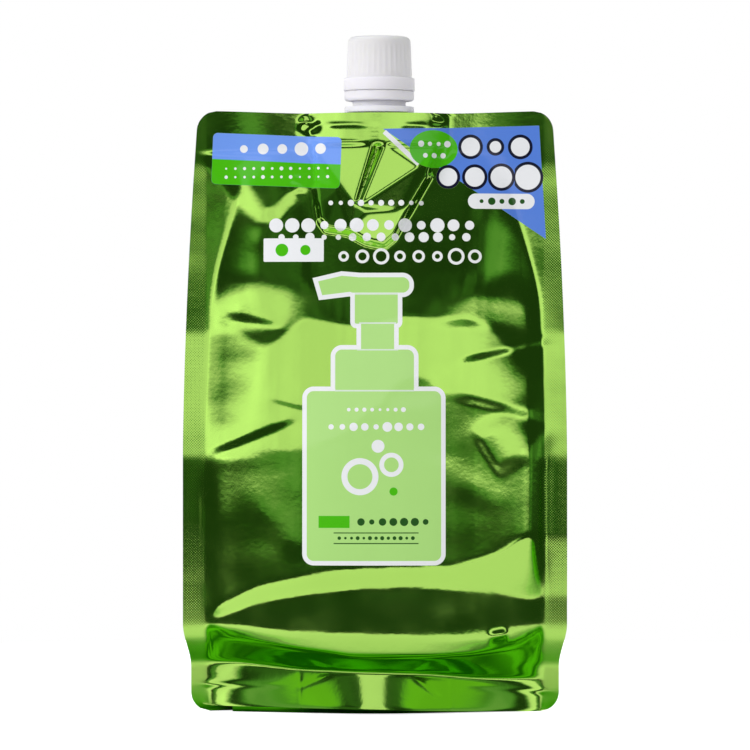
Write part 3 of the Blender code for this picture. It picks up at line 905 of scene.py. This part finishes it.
def mix_colour(tree, share, low, high):
    """Colour that goes from low to high with the share."""
    node = tree.nodes.new("ShaderNodeMix")
    node.data_type = "RGBA"
    for socket, value in ((node.inputs[0], share), (node.inputs[6], low), (node.inputs[7], high)):
        if isinstance(value, tuple):
            socket.default_value = (*value, 1.0)
        elif isinstance(value, (int, float)):
            socket.default_value = value
        else:
            tree.links.new(value, socket)
    return node.outputs[2]


class Print:
    """Printed fields, worked out from a place on the film in millimetres."""

    def __init__(self, tree, coordinates):
        self.tree = tree
        self.source = coordinates
        self.soft = 0.16
        self.colour = None
        self.cover = 0.0
        self.across, self.up = self.local(0.0, 0.0)

    def ink(self, field, tone):
        """Lays one ink over what is printed so far."""
        mask = self.mask(field)
        self.colour = mix_colour(self.tree, mask, self.colour, tone)
        self.cover = self.sum("MAXIMUM", mask, self.cover)

    def local(self, x, z, turn=0.0):
        """Places measured from the middle of a field, turned with it."""
        node = self.tree.nodes.new("ShaderNodeMapping")
        node.vector_type = "TEXTURE"
        node.inputs["Location"].default_value = (x * MM, 0.0, z * MM)
        node.inputs["Rotation"].default_value = (0.0, math.radians(turn), 0.0)
        node.inputs["Scale"].default_value = (MM, MM, MM)
        self.tree.links.new(self.source, node.inputs["Vector"])
        apart = self.tree.nodes.new("ShaderNodeSeparateXYZ")
        self.tree.links.new(node.outputs[0], apart.inputs[0])
        return apart.outputs[0], apart.outputs[2]

    def sum(self, *parts, **words):
        return math_node(self.tree, *parts, **words)

    def box(self, x, z, half_x, half_z, radius=0.0, turn=0.0):
        """Distance to the edge of a rounded box: below 0 inside."""
        across, up = self.local(x, z, turn)
        dx = self.sum("SUBTRACT", self.sum("ABSOLUTE", across), half_x - radius)
        dz = self.sum("SUBTRACT", self.sum("ABSOLUTE", up), half_z - radius)
        ox = self.sum("MAXIMUM", dx, 0.0)
        oz = self.sum("MAXIMUM", dz, 0.0)
        far = self.sum("SQRT", self.sum("ADD", self.sum("MULTIPLY", ox, ox), self.sum("MULTIPLY", oz, oz)))
        near = self.sum("MINIMUM", self.sum("MAXIMUM", dx, dz), 0.0)
        return self.sum("SUBTRACT", self.sum("ADD", far, near), radius)

    def bubble_row(self, left, right, z, spacing, radius, seed):
        """Distance to the edge of a row of bubbles of uneven size."""
        number = max(round((right - left) / spacing), 1)
        pitch = (right - left) / number
        count = self.sum("DIVIDE", self.sum("SUBTRACT", self.across, left), pitch)
        cell = self.sum("MINIMUM", self.sum("MAXIMUM", self.sum("FLOOR", count), 0.0), number - 1.0)
        random = self.tree.nodes.new("ShaderNodeTexWhiteNoise")
        random.noise_dimensions = "1D"
        self.tree.links.new(self.sum("ADD", cell, 0.37 + 31.0 * seed), random.inputs["W"])
        aside = self.sum("MULTIPLY_ADD", self.sum("SUBTRACT", count, cell), pitch, -0.5 * pitch)
        up = self.sum("SUBTRACT", self.up, z)
        squares = self.sum("ADD", self.sum("MULTIPLY", aside, aside), self.sum("MULTIPLY", up, up))
        size = self.sum("MULTIPLY_ADD", random.outputs["Value"], 0.5 * radius, 0.5 * radius)
        return self.sum("SUBTRACT", self.sum("SQRT", squares), size)

    def shell(self, field, width):
        """The outer band of a field, of one width."""
        return self.sum("MAXIMUM", field, self.sum("SUBTRACT", self.sum("MULTIPLY", field, -1.0), width))

    def disc(self, x, z, radius, tall=1.0):
        """Distance to the edge of a disc or an upright ellipse."""
        across = self.sum("SUBTRACT", self.across, x)
        up = self.sum("SUBTRACT", self.up, z)
        up = self.sum("DIVIDE", up, tall)
        squares = self.sum("ADD", self.sum("MULTIPLY", across, across), self.sum("MULTIPLY", up, up))
        return self.sum("SUBTRACT", self.sum("SQRT", squares), radius)

    def edge(self, start, end):
        """Distance past a straight edge, to its right seen from its start."""
        along = Vector(end) - Vector(start)
        out = Vector((along.y, -along.x)).normalized()
        node = self.tree.nodes.new("ShaderNodeVectorMath")
        node.operation = "DOT_PRODUCT"
        self.tree.links.new(self.source, node.inputs[0])
        node.inputs[1].default_value = (out.x / MM, 0.0, out.y / MM)
        return self.sum("SUBTRACT", node.outputs["Value"], out.dot(Vector(start)))

    def polygon(self, *corners):
        """Distance to the edge of a field whose corners run anticlockwise."""
        return self.within(*(self.edge(*pair) for pair in zip(corners, corners[1:] + corners[:1])))

    def join(self, *fields):
        """The nearest of several fields."""
        result = fields[0]
        for field in fields[1:]:
            result = self.sum("MINIMUM", result, field)
        return result

    def within(self, *fields):
        """Where several fields overlap."""
        result = fields[0]
        for field in fields[1:]:
            result = self.sum("MAXIMUM", result, field)
        return result

    def grown(self, field, width):
        """The field with its edge moved out."""
        return self.sum("SUBTRACT", field, width)

    def mask(self, field):
        """1 inside the field and 0 outside, with a thin soft edge."""
        return self.sum("MULTIPLY_ADD", field, -1.0 / self.soft, 0.5, clamp=True)


def new_material(name):
    """A material with its tree, its shader and its object coordinates."""
    made = bpy.data.materials.new(name)
    made.use_nodes = True
    tree = made.node_tree
    shader = tree.nodes["Principled BSDF"]
    place = tree.nodes.new("ShaderNodeTexCoord").outputs["Object"]
    return made, tree, shader, place


def noise(tree, place, scale, detail=3.0, roughness=0.5, stretch=(1.0, 1.0, 1.0)):
    """Noise over object coordinates, stretched if wanted."""
    mapping = tree.nodes.new("ShaderNodeMapping")
    mapping.inputs["Scale"].default_value = stretch
    tree.links.new(place, mapping.inputs["Vector"])
    node = tree.nodes.new("ShaderNodeTexNoise")
    node.inputs["Scale"].default_value = scale
    node.inputs["Detail"].default_value = detail
    node.inputs["Roughness"].default_value = roughness
    tree.links.new(mapping.outputs[0], node.inputs["Vector"])
    return node.outputs["Fac"]


def ranged(tree, value, low, high, to_low, to_high):
    """The value mapped from one range to another."""
    node = tree.nodes.new("ShaderNodeMapRange")
    for socket, number in zip(node.inputs[1:5], (low, high, to_low, to_high)):
        socket.default_value = number
    tree.links.new(value, node.inputs[0])
    return node.outputs[0]


def bump(tree, height, distance, strength, before=None):
    """A bump of this height, over another normal if one is given."""
    node = tree.nodes.new("ShaderNodeBump")
    node.inputs["Strength"].default_value = strength
    node.inputs["Distance"].default_value = distance
    tree.links.new(height, node.inputs["Height"])
    if before is not None:
        tree.links.new(before, node.inputs["Normal"])
    return node.outputs[0]


FILM_GREEN = (0.50, 0.83, 0.16)
FILM_GREEN_DEEP = (0.46, 0.80, 0.14)
INK_BLUE = (0.10, 0.23, 0.74)
INK_BLUE_LIGHT = (0.17, 0.34, 0.90)
INK_GREEN = (0.07, 0.50, 0.006)
WHITE_INK_AND_PAINTED_HIGHLIGHT = (0.86, 0.87, 0.90)
INK_PALE = (0.43, 0.74, 0.22)
INK_DARK = (0.02, 0.09, 0.015)
INK_NAVY = (0.008, 0.008, 0.03)
INK_SILVER = (0.70, 0.80, 0.70)

# The side seals are embossed with fine dots this far apart, which start between these two
# distances from the film's middle, in metres
EMBOSS_PITCH = 0.00125
EMBOSS_START = 0.0785
EMBOSS_FULL = 0.0800


def film_surface(tree, shader, place):
    """Slightly uneven metallised film: roughness, two sizes of ripple and the seals' embossed dots."""
    cloudy = noise(tree, place, 60.0, 4.0)
    rough = ranged(tree, cloudy, 0.3, 0.7, 0.055, 0.115)
    tree.links.new(rough, shader.inputs["Roughness"])
    orange_peel = noise(tree, place, 420.0, 3.0)
    streaks = noise(tree, place, 150.0, 4.0, 0.6, (1.0, 1.0, 0.12))
    apart = tree.nodes.new("ShaderNodeSeparateXYZ")
    tree.links.new(place, apart.inputs[0])
    waves = 2.0 * math.pi / EMBOSS_PITCH
    across = math_node(tree, "SINE", math_node(tree, "MULTIPLY", apart.outputs[0], waves))
    up = math_node(tree, "SINE", math_node(tree, "MULTIPLY", apart.outputs[2], waves))
    aside = math_node(tree, "ABSOLUTE", apart.outputs[0])
    on_seal = ranged(tree, aside, EMBOSS_START, EMBOSS_FULL, 0.0, 1.0)
    dots = math_node(tree, "MULTIPLY", math_node(tree, "MULTIPLY", across, up), on_seal)
    embossed = bump(tree, dots, 0.00002, 0.5)
    fine = bump(tree, orange_peel, 0.00003, 0.6, embossed)
    soft = bump(tree, streaks, 0.00008, 0.2, fine)
    tree.links.new(soft, shader.inputs["Normal"])


def plain_film():
    """Unprinted green metallised film."""
    made, tree, shader, place = new_material("green metallised film")
    tint = noise(tree, place, 9.0, 2.0)
    colour = mix_colour(tree, tint, FILM_GREEN, FILM_GREEN_DEEP)
    tree.links.new(colour, shader.inputs["Base Color"])
    shader.inputs["Metallic"].default_value = 1.0
    film_surface(tree, shader, place)
    return made


def left_label(draw):
    """The blue and green label at the top left, with three rows of bubbles."""
    label = draw.box(-46.2, 258.0, 30.2, 12.0, 2.2, 2.4)
    draw.ink(label, INK_BLUE_LIGHT)
    draw.ink(draw.within(label, draw.edge((-15.0, 256.0), (-76.0, 259.0))), INK_GREEN)
    draw.ink(draw.bubble_row(-66.0, -21.0, 263.6, 9.0, 3.5, 2), WHITE_INK_AND_PAINTED_HIGHLIGHT)
    draw.ink(draw.bubble_row(-72.0, -20.0, 254.4, 4.2, 0.9, 3), WHITE_INK_AND_PAINTED_HIGHLIGHT)
    draw.ink(draw.bubble_row(-72.0, -20.0, 250.4, 4.2, 0.9, 4), WHITE_INK_AND_PAINTED_HIGHLIGHT)


def right_corner(draw):
    """The blue corner at the top right, with a painted fold highlight as a white band along its edge, a
    green disc and large bubbles.
    """
    draw.ink(draw.polygon((3.75, 272.5), (80.2, 221.4), (77.0, 274.6)), INK_BLUE)
    # Painted highlight: a white band laid along the top of the blue field's edge, where a fold of the film
    # catches the light
    draw.ink(draw.box(12.4, 263.7, 11.0, 1.1, 0.2, 42.9), WHITE_INK_AND_PAINTED_HIGHLIGHT)
    draw.ink(draw.disc(27.5, 263.4, 11.3, 0.78), INK_GREEN)
    draw.ink(draw.bubble_row(19.5, 36.0, 265.8, 4.1, 1.7, 5), WHITE_INK_AND_PAINTED_HIGHLIGHT)
    draw.ink(draw.bubble_row(21.5, 34.0, 260.4, 4.1, 1.7, 6), WHITE_INK_AND_PAINTED_HIGHLIGHT)
    large = draw.join(
        draw.bubble_row(39.0, 74.0, 264.6, 11.6, 5.4, 7),
        draw.bubble_row(28.0, 78.0, 250.4, 12.4, 6.0, 8),
    )
    draw.ink(draw.grown(large, 1.4), INK_NAVY)
    draw.ink(large, WHITE_INK_AND_PAINTED_HIGHLIGHT)


def middle_rows(draw):
    """The white bubbles and rings across the middle, and the two white boxes beside them."""
    draw.ink(draw.bubble_row(-23.0, 24.0, 238.0, 4.8, 1.9, 9), WHITE_INK_AND_PAINTED_HIGHLIGHT)
    draw.ink(draw.bubble_row(-50.0, 48.0, 227.6, 7.6, 3.5, 10), WHITE_INK_AND_PAINTED_HIGHLIGHT)
    draw.ink(draw.bubble_row(-47.0, 46.0, 222.0, 6.6, 2.4, 11), WHITE_INK_AND_PAINTED_HIGHLIGHT)
    rings = draw.bubble_row(-19.0, 51.0, 213.0, 8.7, 4.2, 12)
    draw.ink(draw.shell(rings, 1.3), WHITE_INK_AND_PAINTED_HIGHLIGHT)
    draw.ink(draw.box(-38.0, 216.0, 14.1, 5.5, 0.6), WHITE_INK_AND_PAINTED_HIGHLIGHT)
    draw.ink(draw.bubble_row(-49.0, -27.0, 216.0, 11.0, 3.6, 13), INK_GREEN)
    draw.ink(draw.box(59.2, 239.0, 15.7, 3.6, 3.6), WHITE_INK_AND_PAINTED_HIGHLIGHT)
    draw.ink(draw.bubble_row(47.5, 71.5, 239.0, 4.8, 1.8, 14), INK_DARK)


def pump_picture(draw):
    """A plain pump dispenser with a white edge: body, shoulder, collar, stem and drooping nozzle."""
    body = draw.box(-0.5, 110.8, 31.2, 39.4, 3.2)
    shoulder = draw.box(-0.2, 159.0, 18.3, 10.5, 3.2)
    stem = draw.box(1.2, 174.0, 7.7, 9.0, 0.2)
    collar = draw.box(0.6, 188.5, 10.0, 7.0, 0.8)
    head = draw.box(1.4, 199.6, 14.6, 3.6, 3.2)
    nozzle = draw.polygon((-26.5, 201.3), (-24.6, 194.8), (-10.0, 196.6), (-8.0, 203.3), (-15.5, 203.9))
    picture = draw.join(body, shoulder, stem, collar, draw.join(head, nozzle))
    draw.ink(draw.grown(picture, 2.1), WHITE_INK_AND_PAINTED_HIGHLIGHT)
    draw.ink(picture, INK_PALE)
    seams = draw.join(
        draw.box(0.6, 195.4, 10.0, 0.35),
        draw.box(1.2, 181.8, 8.6, 0.35),
        draw.box(1.2, 169.4, 9.6, 0.3),
        draw.box(-0.2, 150.4, 18.4, 0.35),
    )
    draw.ink(seams, INK_SILVER)


def pump_bubbles(draw):
    """What is printed on the pictured dispenser's body: bubbles, a green box and two thin lines."""
    bubbles = draw.join(draw.disc(-7.0, 110.5, 8.6), draw.disc(7.6, 116.0, 5.6), draw.disc(1.4, 124.6, 3.0))
    draw.ink(bubbles, WHITE_INK_AND_PAINTED_HIGHLIGHT)
    draw.ink(draw.join(draw.disc(-7.0, 110.5, 5.8), draw.disc(7.6, 116.0, 3.4)), INK_PALE)
    draw.ink(draw.disc(8.6, 103.6, 1.9), INK_GREEN)
    draw.ink(draw.bubble_row(-23.0, 24.0, 133.6, 5.2, 2.4, 15), WHITE_INK_AND_PAINTED_HIGHLIGHT)
    draw.ink(draw.bubble_row(-14.0, 15.0, 141.6, 3.6, 1.2, 16), WHITE_INK_AND_PAINTED_HIGHLIGHT)
    draw.ink(draw.box(-19.0, 89.5, 7.2, 2.8, 0.2), INK_GREEN)
    draw.ink(draw.join(draw.box(0.5, 84.4, 19.7, 0.25), draw.box(0.5, 79.5, 19.7, 0.25)), INK_DARK)
    draw.ink(draw.bubble_row(-9.0, 26.0, 89.5, 5.0, 2.2, 17), INK_DARK)
    draw.ink(draw.bubble_row(-18.0, 19.0, 82.0, 2.8, 1.0, 18), INK_DARK)


def printed_film():
    """The front film: green metal with its printed fields and a painted fold highlight at the top right."""
    made, tree, shader, place = new_material("printed metallised film")
    draw = Print(tree, place)
    tint = noise(tree, place, 9.0, 2.0)
    draw.colour = mix_colour(tree, tint, FILM_GREEN, FILM_GREEN_DEEP)
    left_label(draw)
    right_corner(draw)
    middle_rows(draw)
    pump_picture(draw)
    pump_bubbles(draw)
    tree.links.new(draw.colour, shader.inputs["Base Color"])
    metal = ranged(tree, draw.cover, 0.0, 1.0, 1.0, 0.0)
    tree.links.new(metal, shader.inputs["Metallic"])
    film_surface(tree, shader, place)
    return made


def moulded_plastic(name, colour, shade):
    """Milky moulded plastic with a faint grain and slightly uneven colour."""
    made, tree, shader, place = new_material(name)
    patchy = noise(tree, place, 120.0, 3.0)
    tone = mix_colour(tree, patchy, colour, shade)
    tree.links.new(tone, shader.inputs["Base Color"])
    rough = ranged(tree, noise(tree, place, 260.0), 0.3, 0.7, 0.30, 0.42)
    tree.links.new(rough, shader.inputs["Roughness"])
    shader.inputs["Subsurface Weight"].default_value = 0.6
    shader.inputs["Subsurface Radius"].default_value = (0.004, 0.004, 0.005)
    shader.inputs["Subsurface Scale"].default_value = 0.8
    grain = noise(tree, place, 900.0, 2.0)
    tree.links.new(bump(tree, grain, 0.00002, 0.5), shader.inputs["Normal"])
    return made


# Studio

# The photograph's frame, in metres: how much it shows across, and where the camera stands
FRAME_WIDTH = 0.3518
CAMERA_DISTANCE = 2.1
CAMERA_HEIGHT = 0.165
FRAME_CENTRE_X = 0.0
FRAME_CENTRE_Z = 0.1576

# Room round the pack, in metres
DOME_RADIUS = 6.0
TABLE_RADIUS = 0.54

# Tones of the room and of the table as the film reflects them; the two table greens are a painted
# reflection of the pack's green and painted shade on the table next to it
ROOM_GREEN = (0.55, 1.25, 0.45)
SIDE_GREEN = (0.45, 1.0, 0.10)
TABLE_WHITE = (0.93, 0.93, 0.93)
TABLE_PAINTED_SHADE_GREEN = (0.02, 0.14, 0.004)
TABLE_PAINTED_REFLECTION_GREEN = (0.15, 0.56, 0.02)


def smooth(tree, value, dark, full):
    """A smooth ramp: 0 where the value is dark, 1 where it is full."""
    node = tree.nodes.new("ShaderNodeMapRange")
    node.interpolation_type = "SMOOTHSTEP"
    node.inputs[1].default_value = dark
    node.inputs[2].default_value = full
    tree.links.new(value, node.inputs[0])
    return node.outputs[0]


def lit(tree, *ramps):
    """The product of smooth ramps, each given as a value, where it is dark and where it is full."""
    share = smooth(tree, *ramps[0])
    for ramp in ramps[1:]:
        share = math_node(tree, "MULTIPLY", share, smooth(tree, *ramp))
    return share


def wall_level(tree, rise, azimuth, turn, patch):
    """The bright wall above eye level, which is open where the camera stands. Angles are in degrees."""
    aside = smooth(tree, turn, 15.0, 60.0)
    lifted = math_node(tree, "MULTIPLY_ADD", aside, 2.2, rise)
    lowered = math_node(tree, "MULTIPLY_ADD", aside, 6.5, rise)
    for span, value, fall in (
        ((15.0, 60.0), azimuth, 4.0),
        ((55.0, 75.0), turn, 5.0),
        ((55.0, 75.0), azimuth, 4.0),
    ):
        lowered = math_node(tree, "MULTIPLY_ADD", smooth(tree, value, *span), fall, lowered)
    wall = lit(tree, (lifted, 2.6, 4.4), (lowered, 18.5, 12.5))
    column = math_node(tree, "ABSOLUTE", math_node(tree, "ADD", azimuth, 2.7))
    camera_gap = math_node(tree, "MAXIMUM", smooth(tree, column, 4.0, 5.5), smooth(tree, rise, 4.6, 5.8))
    gain = math_node(tree, "MULTIPLY_ADD", smooth(tree, azimuth, -28.0, -48.0), 0.26, 0.80)
    gain = math_node(tree, "MULTIPLY_ADD", smooth(tree, azimuth, 5.0, 20.0), 0.10, gain)
    gain = math_node(tree, "MULTIPLY_ADD", patch, 0.10, gain)
    return math_node(tree, "MULTIPLY", math_node(tree, "MULTIPLY", wall, camera_gap), gain)


def room_glow(tree, direction):
    """Level and tone of the studio seen in each direction."""
    apart = tree.nodes.new("ShaderNodeSeparateXYZ")
    tree.links.new(direction, apart.inputs[0])
    x, y, z = apart.outputs
    rise = math_node(tree, "DEGREES", math_node(tree, "ARCSINE", z))
    away = math_node(tree, "ABSOLUTE", y)
    azimuth = math_node(tree, "DEGREES", math_node(tree, "ARCTAN2", x, away))
    turn = math_node(tree, "ABSOLUTE", azimuth)
    cloud = tree.nodes.new("ShaderNodeTexNoise")
    cloud.inputs["Scale"].default_value = 5.0
    cloud.inputs["Detail"].default_value = 2.0
    tree.links.new(direction, cloud.inputs["Vector"])
    patch = smooth(tree, cloud.outputs["Fac"], 0.38, 0.62)

    wall = wall_level(tree, rise, azimuth, turn, patch)
    card_height = lit(tree, (rise, -20.0, -18.0), (rise, -4.0, -6.0))
    card_width = lit(tree, (azimuth, 8.0, 11.0), (azimuth, 42.0, 38.0))
    low_card = math_node(tree, "MULTIPLY", card_height, card_width)
    eye_level = lit(tree, (rise, -0.7, 0.7), (rise, 4.0, 2.0))
    eye_glow = math_node(tree, "MULTIPLY_ADD", patch, 0.14, 0.09)
    ceiling = math_node(tree, "MULTIPLY", smooth(tree, rise, 14.0, 22.0), patch)
    ceiling_panel = lit(tree, (rise, 38.0, 40.0), (rise, 64.0, 62.0), (turn, 18.0, 15.0))
    grey_sides = lit(tree, (rise, 18.0, 24.0), (rise, 38.0, 32.0), (turn, 30.0, 40.0))
    green_sides = lit(tree, (rise, 32.0, 44.0), (turn, 33.0, 40.0))

    level = math_node(tree, "ADD", wall, 0.035)
    for share, strength in (
        (low_card, 0.85),
        (eye_level, eye_glow),
        (ceiling, 0.06),
        (ceiling_panel, 0.75),
        (grey_sides, 0.22),
    ):
        level = math_node(tree, "MULTIPLY_ADD", share, strength, level)
    tone = mix_colour(tree, smooth(tree, level, 0.15, 0.55), ROOM_GREEN, (1.0, 1.0, 1.0))
    tone = mix_colour(tree, green_sides, tone, SIDE_GREEN)
    return math_node(tree, "MULTIPLY_ADD", green_sides, 0.42, level), tone


def studio_dome():
    """Reflections of a studio: dark at eye level, a bright wall above, a dark ceiling with one panel."""
    made = bpy.data.materials.new("studio surround")
    made.use_nodes = True
    tree = made.node_tree
    tree.nodes.clear()
    unit = tree.nodes.new("ShaderNodeVectorMath")
    unit.operation = "NORMALIZE"
    tree.links.new(tree.nodes.new("ShaderNodeTexCoord").outputs["Object"], unit.inputs[0])
    level, tone = room_glow(tree, unit.outputs[0])
    glow = tree.nodes.new("ShaderNodeEmission")
    tree.links.new(tone, glow.inputs["Color"])
    tree.links.new(level, glow.inputs["Strength"])
    out = tree.nodes.new("ShaderNodeOutputMaterial")
    tree.links.new(glow.outputs[0], out.inputs[0])
    bm = bmesh.new()
    bmesh.ops.create_uvsphere(bm, u_segments=48, v_segments=24, radius=DOME_RADIUS)
    bmesh.ops.reverse_faces(bm, faces=bm.faces)
    dome = stage_piece("studio_dome", bm, made)
    dome.location = (0.0, 0.0, 0.15)
    dome.visible_camera = False
    dome.visible_shadow = False
    dome.visible_diffuse = False


def stage_piece(name, bm, material):
    """A piece of the studio, which isn't part of the pack."""
    mesh = bpy.data.meshes.new(name)
    bm.to_mesh(mesh)
    bm.free()
    mesh.materials.append(material)
    made = bpy.data.objects.new(name, mesh)
    bpy.context.scene.collection.objects.link(made)
    return made


def white_table():
    """A plain pale table that keeps the pack's shadow and runs out into a white background. Near the pack,
    glossy rays see it in painted green and dark green: a painted reflection of the pack and painted shade.
    """
    made = bpy.data.materials.new("white table")
    made.use_nodes = True
    tree = made.node_tree
    tree.nodes.clear()
    place = tree.nodes.new("ShaderNodeTexCoord").outputs["Object"]
    apart = tree.nodes.new("ShaderNodeSeparateXYZ")
    tree.links.new(place, apart.inputs[0])
    # Painted reflection and painted shade: within a few centimetres of the pack, glossy rays see the table
    # in dark and mid green instead of white
    near = ranged(tree, math_node(tree, "ABSOLUTE", apart.outputs[1]), 0.070, 0.140, 1.0, 0.0)
    ray = tree.nodes.new("ShaderNodeLightPath")
    painted_near_pack = math_node(tree, "MULTIPLY", near, ray.outputs["Is Glossy Ray"])
    uneven = ranged(tree, noise(tree, place, 26.0, 2.0, 0.5, (0.5, 3.0, 1.0)), 0.42, 0.58, 0.0, 1.0)
    painted_reflection = mix_colour(tree, uneven, TABLE_PAINTED_SHADE_GREEN, TABLE_PAINTED_REFLECTION_GREEN)
    matt = tree.nodes.new("ShaderNodeBsdfDiffuse")
    tree.links.new(mix_colour(tree, painted_near_pack, TABLE_WHITE, painted_reflection), matt.inputs["Color"])
    glow = tree.nodes.new("ShaderNodeEmission")
    strength = math_node(tree, "MULTIPLY", ray.outputs["Is Camera Ray"], 0.8)
    tree.links.new(strength, glow.inputs["Strength"])
    both = tree.nodes.new("ShaderNodeAddShader")
    tree.links.new(matt.outputs[0], both.inputs[0])
    tree.links.new(glow.outputs[0], both.inputs[1])
    out = tree.nodes.new("ShaderNodeOutputMaterial")
    tree.links.new(both.outputs[0], out.inputs[0])
    bm = bmesh.new()
    bmesh.ops.create_circle(bm, cap_ends=True, segments=96, radius=TABLE_RADIUS)
    stage_piece("table", bm, made)


def lamp(name, place, size, power, aim=(0.0, 0.0, 0.15)):
    """A soft lamp aimed at the pack, which isn't seen in its film."""
    light = bpy.data.lights.new(name, "AREA")
    light.shape = "SQUARE"
    light.size = size
    light.energy = power
    made = bpy.data.objects.new(name, light)
    made.location = place
    made.rotation_euler = (Vector(aim) - Vector(place)).to_track_quat("-Z", "Y").to_euler()
    made.visible_glossy = False
    bpy.context.scene.collection.objects.link(made)


def studio():
    """Soft lamps, white surround and the camera."""
    scene = bpy.context.scene
    scene.view_settings.view_transform = "Standard"
    world = bpy.data.worlds.new("white surround")
    world.use_nodes = True
    scene.world = world
    background = world.node_tree.nodes["Background"]
    background.inputs["Color"].default_value = (1.0, 1.0, 1.0, 1.0)
    rays = world.node_tree.nodes.new("ShaderNodeLightPath")
    dimmer = world.node_tree.nodes.new("ShaderNodeMapRange")
    dimmer.inputs["To Min"].default_value = 1.0
    dimmer.inputs["To Max"].default_value = 0.66
    world.node_tree.links.new(rays.outputs["Is Diffuse Ray"], dimmer.inputs["Value"])
    world.node_tree.links.new(dimmer.outputs[0], background.inputs["Strength"])
    studio_dome()
    white_table()
    for name, place, size, power in (
        ("key lamp", (-1.9, -1.0, 1.1), 0.9, 27.0),
        ("fill lamp", (1.6, -1.3, 1.3), 1.4, 3.0),
        ("back lamp", (0.3, 1.8, 1.8), 1.4, 6.0),
    ):
        lamp(name, place, size, power)
    camera = bpy.data.cameras.new("camera")
    camera.sensor_width = 36.0
    camera.lens = 36.0 * CAMERA_DISTANCE / FRAME_WIDTH
    eye = bpy.data.objects.new("camera", camera)
    eye.location = (FRAME_CENTRE_X, -CAMERA_DISTANCE, CAMERA_HEIGHT)
    eye.rotation_euler = (math.radians(90.0), 0.0, 0.0)
    camera.shift_y = (FRAME_CENTRE_Z - CAMERA_HEIGHT) / FRAME_WIDTH
    scene.collection.objects.link(eye)
    scene.camera = eye


def main():
    """Makes every visible piece and dresses the studio."""
    printed = printed_film()
    plain = plain_film()
    cap_white = moulded_plastic("milky cap plastic", (0.84, 0.81, 0.90), (0.88, 0.86, 0.93))
    spout_white = moulded_plastic("milky spout plastic", (0.80, 0.79, 0.86), (0.84, 0.83, 0.89))
    liner_white = moulded_plastic("white liner foam", (0.86, 0.86, 0.84), (0.80, 0.80, 0.78))
    front_depth, back_depth = front_field(), back_field()
    front = film("film_front", front_depth, -1.0, FRONT_GRID, printed)
    back = film("film_back", back_depth, 1.0, BACK_GRID, plain)
    base = base_film(plain, front_depth, back_depth)
    for piece in (front, back, base):
        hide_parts("pouch")
        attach(piece, "pack")
    for piece in (make_neck(spout_white), make_boat(spout_white)):
        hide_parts("spout")
        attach(piece, "pack")
    ring = make_ring(cap_white)
    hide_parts("tamper_ring")
    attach(ring, "pack")
    cap = make_cap(cap_white)
    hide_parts("cap")
    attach(cap, "screw_cap")
    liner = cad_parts["cap_liner"]
    liner.data.materials.clear()
    liner.data.materials.append(liner_white)
    studio()


main()
